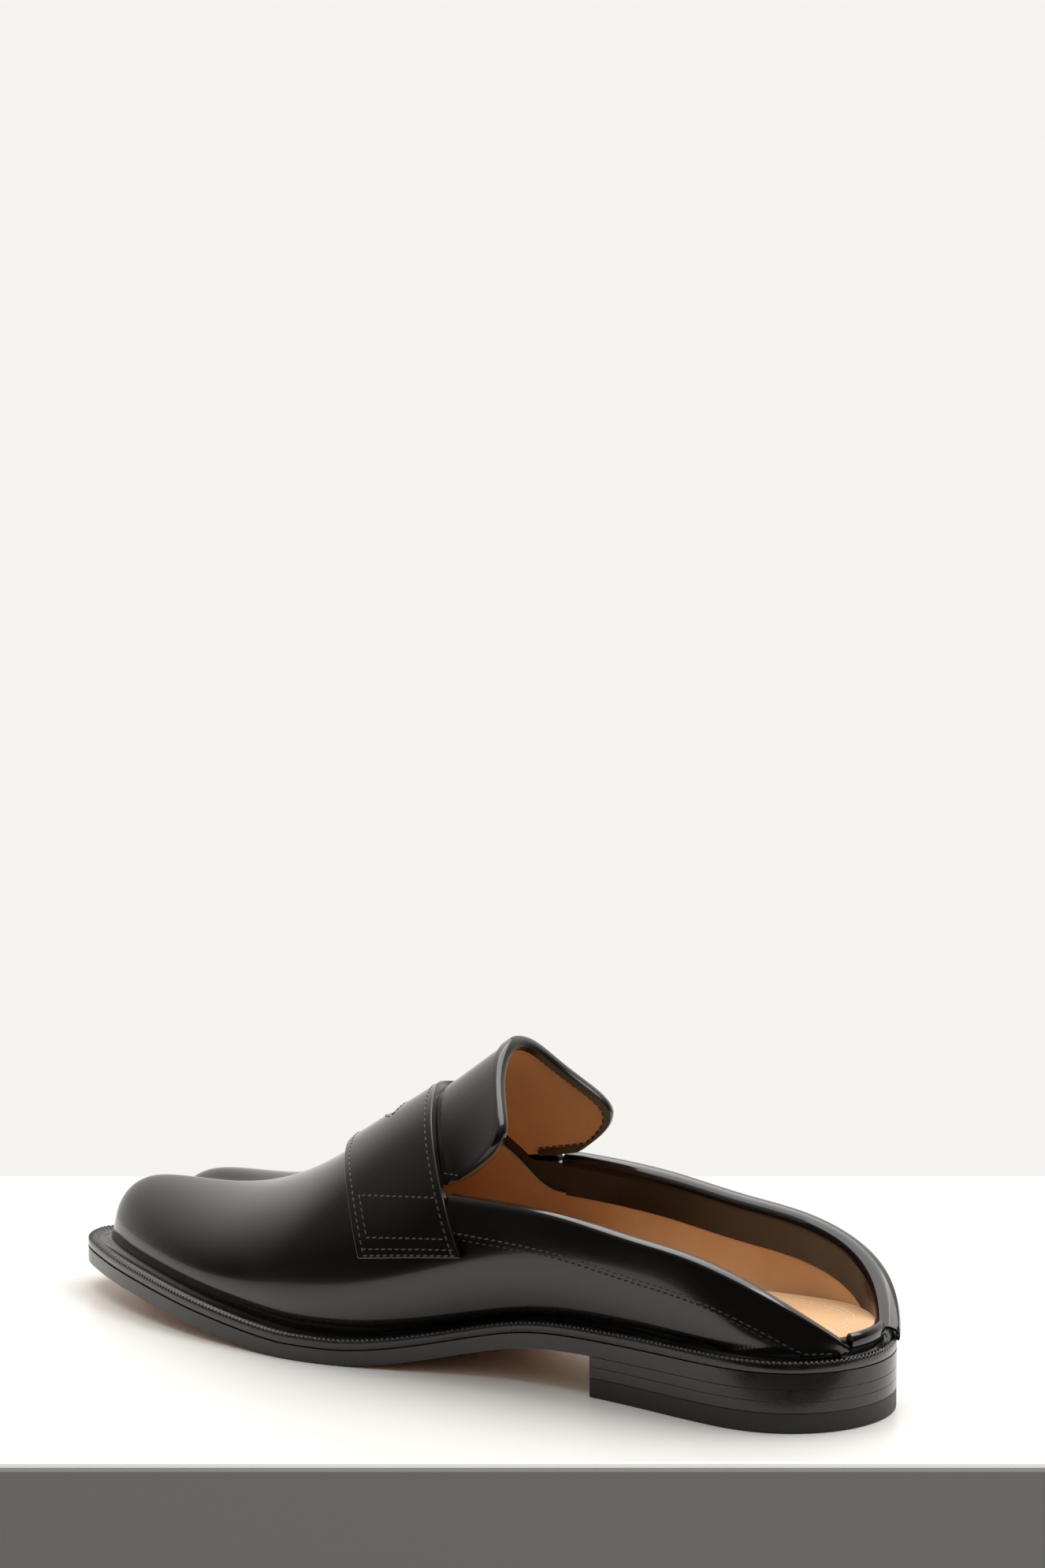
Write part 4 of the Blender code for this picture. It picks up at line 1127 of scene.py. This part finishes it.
for turn in range(2):
    tongue_net[:, 1:-1] = 0.25 * tongue_net[:, :-2] + 0.5 * tongue_net[:, 1:-1] + 0.25 * tongue_net[:, 2:]
    tongue_net[1:-1] = 0.25 * tongue_net[:-2] + 0.5 * tongue_net[1:-1] + 0.25 * tongue_net[2:]
tongue_points = surface(tongue_net, np.linspace(0, 1, TONGUE_GRID[0]), np.linspace(0, 1, TONGUE_GRID[1]))


def core_out(points, out):
    """Normals turned away from the core of the last."""
    middle = np.array([0, 0, CORE_HEIGHT]) + points * np.array([0, 1, 0])
    return out * np.sign(((points - middle) * out).sum(-1, keepdims=True))


outs = core_out(tongue_points, normals(tongue_points))
mesh = facing(laid_grid(tongue_points), tongue_points, outs)
tongue = piece("tongue_flap", mesh, [black_calf, tan_lining], "tongue")
rounded(sheet(tongue, TONGUE_SHEET, back_material=1), 0.5, segments=3)

# The binding follows the free edge from one root of the tongue round to the other.
rim_u = np.concatenate([np.zeros(60), np.linspace(0, 1, 160), np.ones(60)])
rim_v = np.concatenate([np.linspace(0.25, 0.985, 60), np.ones(160), np.linspace(0.985, 0.25, 60)])


def rim_spots(inset):
    """Points along the free edge of the tongue, moved in from it by a distance in millimetres."""
    width = np.linalg.norm(tongue_points[-1] - tongue_points[0], axis=-1).mean() * 1.25
    depth = np.linalg.norm(tongue_points[TONGUE_GRID[0] // 2, -1] - tongue_points[TONGUE_GRID[0] // 2, 0])
    u = np.clip(rim_u, inset / width, 1 - inset / width)
    v = np.minimum(rim_v, 1 - inset / depth)
    points, out = spots(tongue_net, u, v)
    return points, core_out(points, out)


mesh = bmesh.new()
points, out = rim_spots(2.4)
sew(mesh, points, out, slant=0.0)
sew(mesh, points - out * TONGUE_SHEET, -out, slant=0.0)
piece("tongue_stitches", mesh, [thread])

sections = []
edge, edge_out = rim_spots(0.0)
inner, inner_out = rim_spots(BINDING)
away = unit(edge - inner)
for share, deep in ((1.0, -BINDING_SHEET), (0.0, -BINDING_SHEET), (-0.2, 0.3), (-0.2, TONGUE_SHEET - 0.3),
                    (0.0, TONGUE_SHEET + BINDING_SHEET), (1.0, TONGUE_SHEET + BINDING_SHEET)):
    place = edge + (inner - edge) * max(share, 0) + away * (BINDING_SHEET if share < 0 else 0)
    sections.append(place - (edge_out + (inner_out - edge_out) * max(share, 0)) * deep)
binding_points = np.array(sections).transpose(1, 0, 2)
mesh = laid_grid(binding_points)
outs = np.repeat(edge_out[:, None], binding_points.shape[1], axis=1)
outs[:, 3:] *= -1
facing(mesh, binding_points[:, :2], outs[:, :2])
item = piece("tongue_binding", mesh, [black_calf], sharp=60)
rounded(sheet(item, BINDING_SHEET), 0.1, segments=2)

# Insole: a tan calf sock on a firm board, flat across the seat, with two rows of cream stitches inside its
# edge round the heel.
INSOLE_GAP = 0.5
SOCK_DISH = 0.7

sock_tan = leather("sock_tan", (0.70, 0.42, 0.215), (0.79, 0.50, 0.28), (0.38, 0.50), 1600.0, 30.0, 0.03)
cream, tree, shader = shader_nodes("cream_thread")
twist = tree.nodes.new("ShaderNodeTexNoise")
twist.inputs["Scale"].default_value = 3000.0
place = tree.nodes.new("ShaderNodeTexCoord")
tone = tree.nodes.new("ShaderNodeMix")
tone.data_type = "RGBA"
tone.inputs["A"].default_value = (0.72, 0.60, 0.42, 1)
tone.inputs["B"].default_value = (0.86, 0.76, 0.58, 1)
tree.links.new(place.outputs["Object"], twist.inputs["Vector"])
tree.links.new(twist.outputs["Fac"], tone.inputs["Factor"])
tree.links.new(tone.outputs["Result"], shader.inputs["Base Color"])
shader.inputs["Roughness"].default_value = 0.6

sock_top = OUTSOLE + FIT + WELT + INSOLE_RISE
mesh = bmesh.new()
plate(mesh, feather_ring(WALL + INSOLE_GAP), OUTSOLE + FIT, sock_top, step=5.0)
lift_to_shank(mesh)
rounded(piece("sock", mesh, [sock_tan], "insole"), 1.0, segments=3)

mesh = bmesh.new()
for extra in (5.5, 7.6):
    ring = feather_ring(WALL + INSOLE_GAP + extra)
    rear_part = np.concatenate([ring[-120:], ring[:120]])
    points = np.column_stack([rear_part, underside(rear_part[:, 1]) + sock_top])
    sew(mesh, points, np.tile([0.0, 0.0, 1.0], (len(points), 1)), pitch=2.3, length=1.7, slant=0.0)
piece("sock_stitches", mesh, [cream])

# Heel rand: a rolled black calf edge that closes the back of the heel seat between the quarter ends.
RAND_WIDTH = 3.6
RAND_HEIGHT = 5.0

outer_line = feather_ring(-0.5 * (RAND_WIDTH - WALL))
inner_line = feather_ring(WALL)
end = QUARTER_GAP / 2 - 2 * FIT
back = [i for i in range(-FINE_RING // 4, FINE_RING // 4) if abs(outer_line[i][0]) < end]
sections = []
for i in back:
    loop = []
    for a in np.linspace(0, 2 * pi, 17):
        share = 0.5 - 0.5 * cos(a)
        across_point = outer_line[i] * (1 - share) + inner_line[i] * share
        height = RAND_HEIGHT * (0.5 + 0.5 * sin(a)) if sin(a) > 0 else RAND_HEIGHT * 0.5 * (1 + sin(a))
        loop.append([*across_point, float(welt_top(0.0)) + FIT + height])
    sections.append(loop)
sections = np.array(sections)
first = np.repeat(sections[:1].mean(axis=1, keepdims=True), 17, axis=1)
final = np.repeat(sections[-1:].mean(axis=1, keepdims=True), 17, axis=1)
mesh = laid_grid(np.concatenate([first, sections, final]), merged=True)
piece("rolled_rand", mesh, [black_calf], "heel_rand", sharp=50)
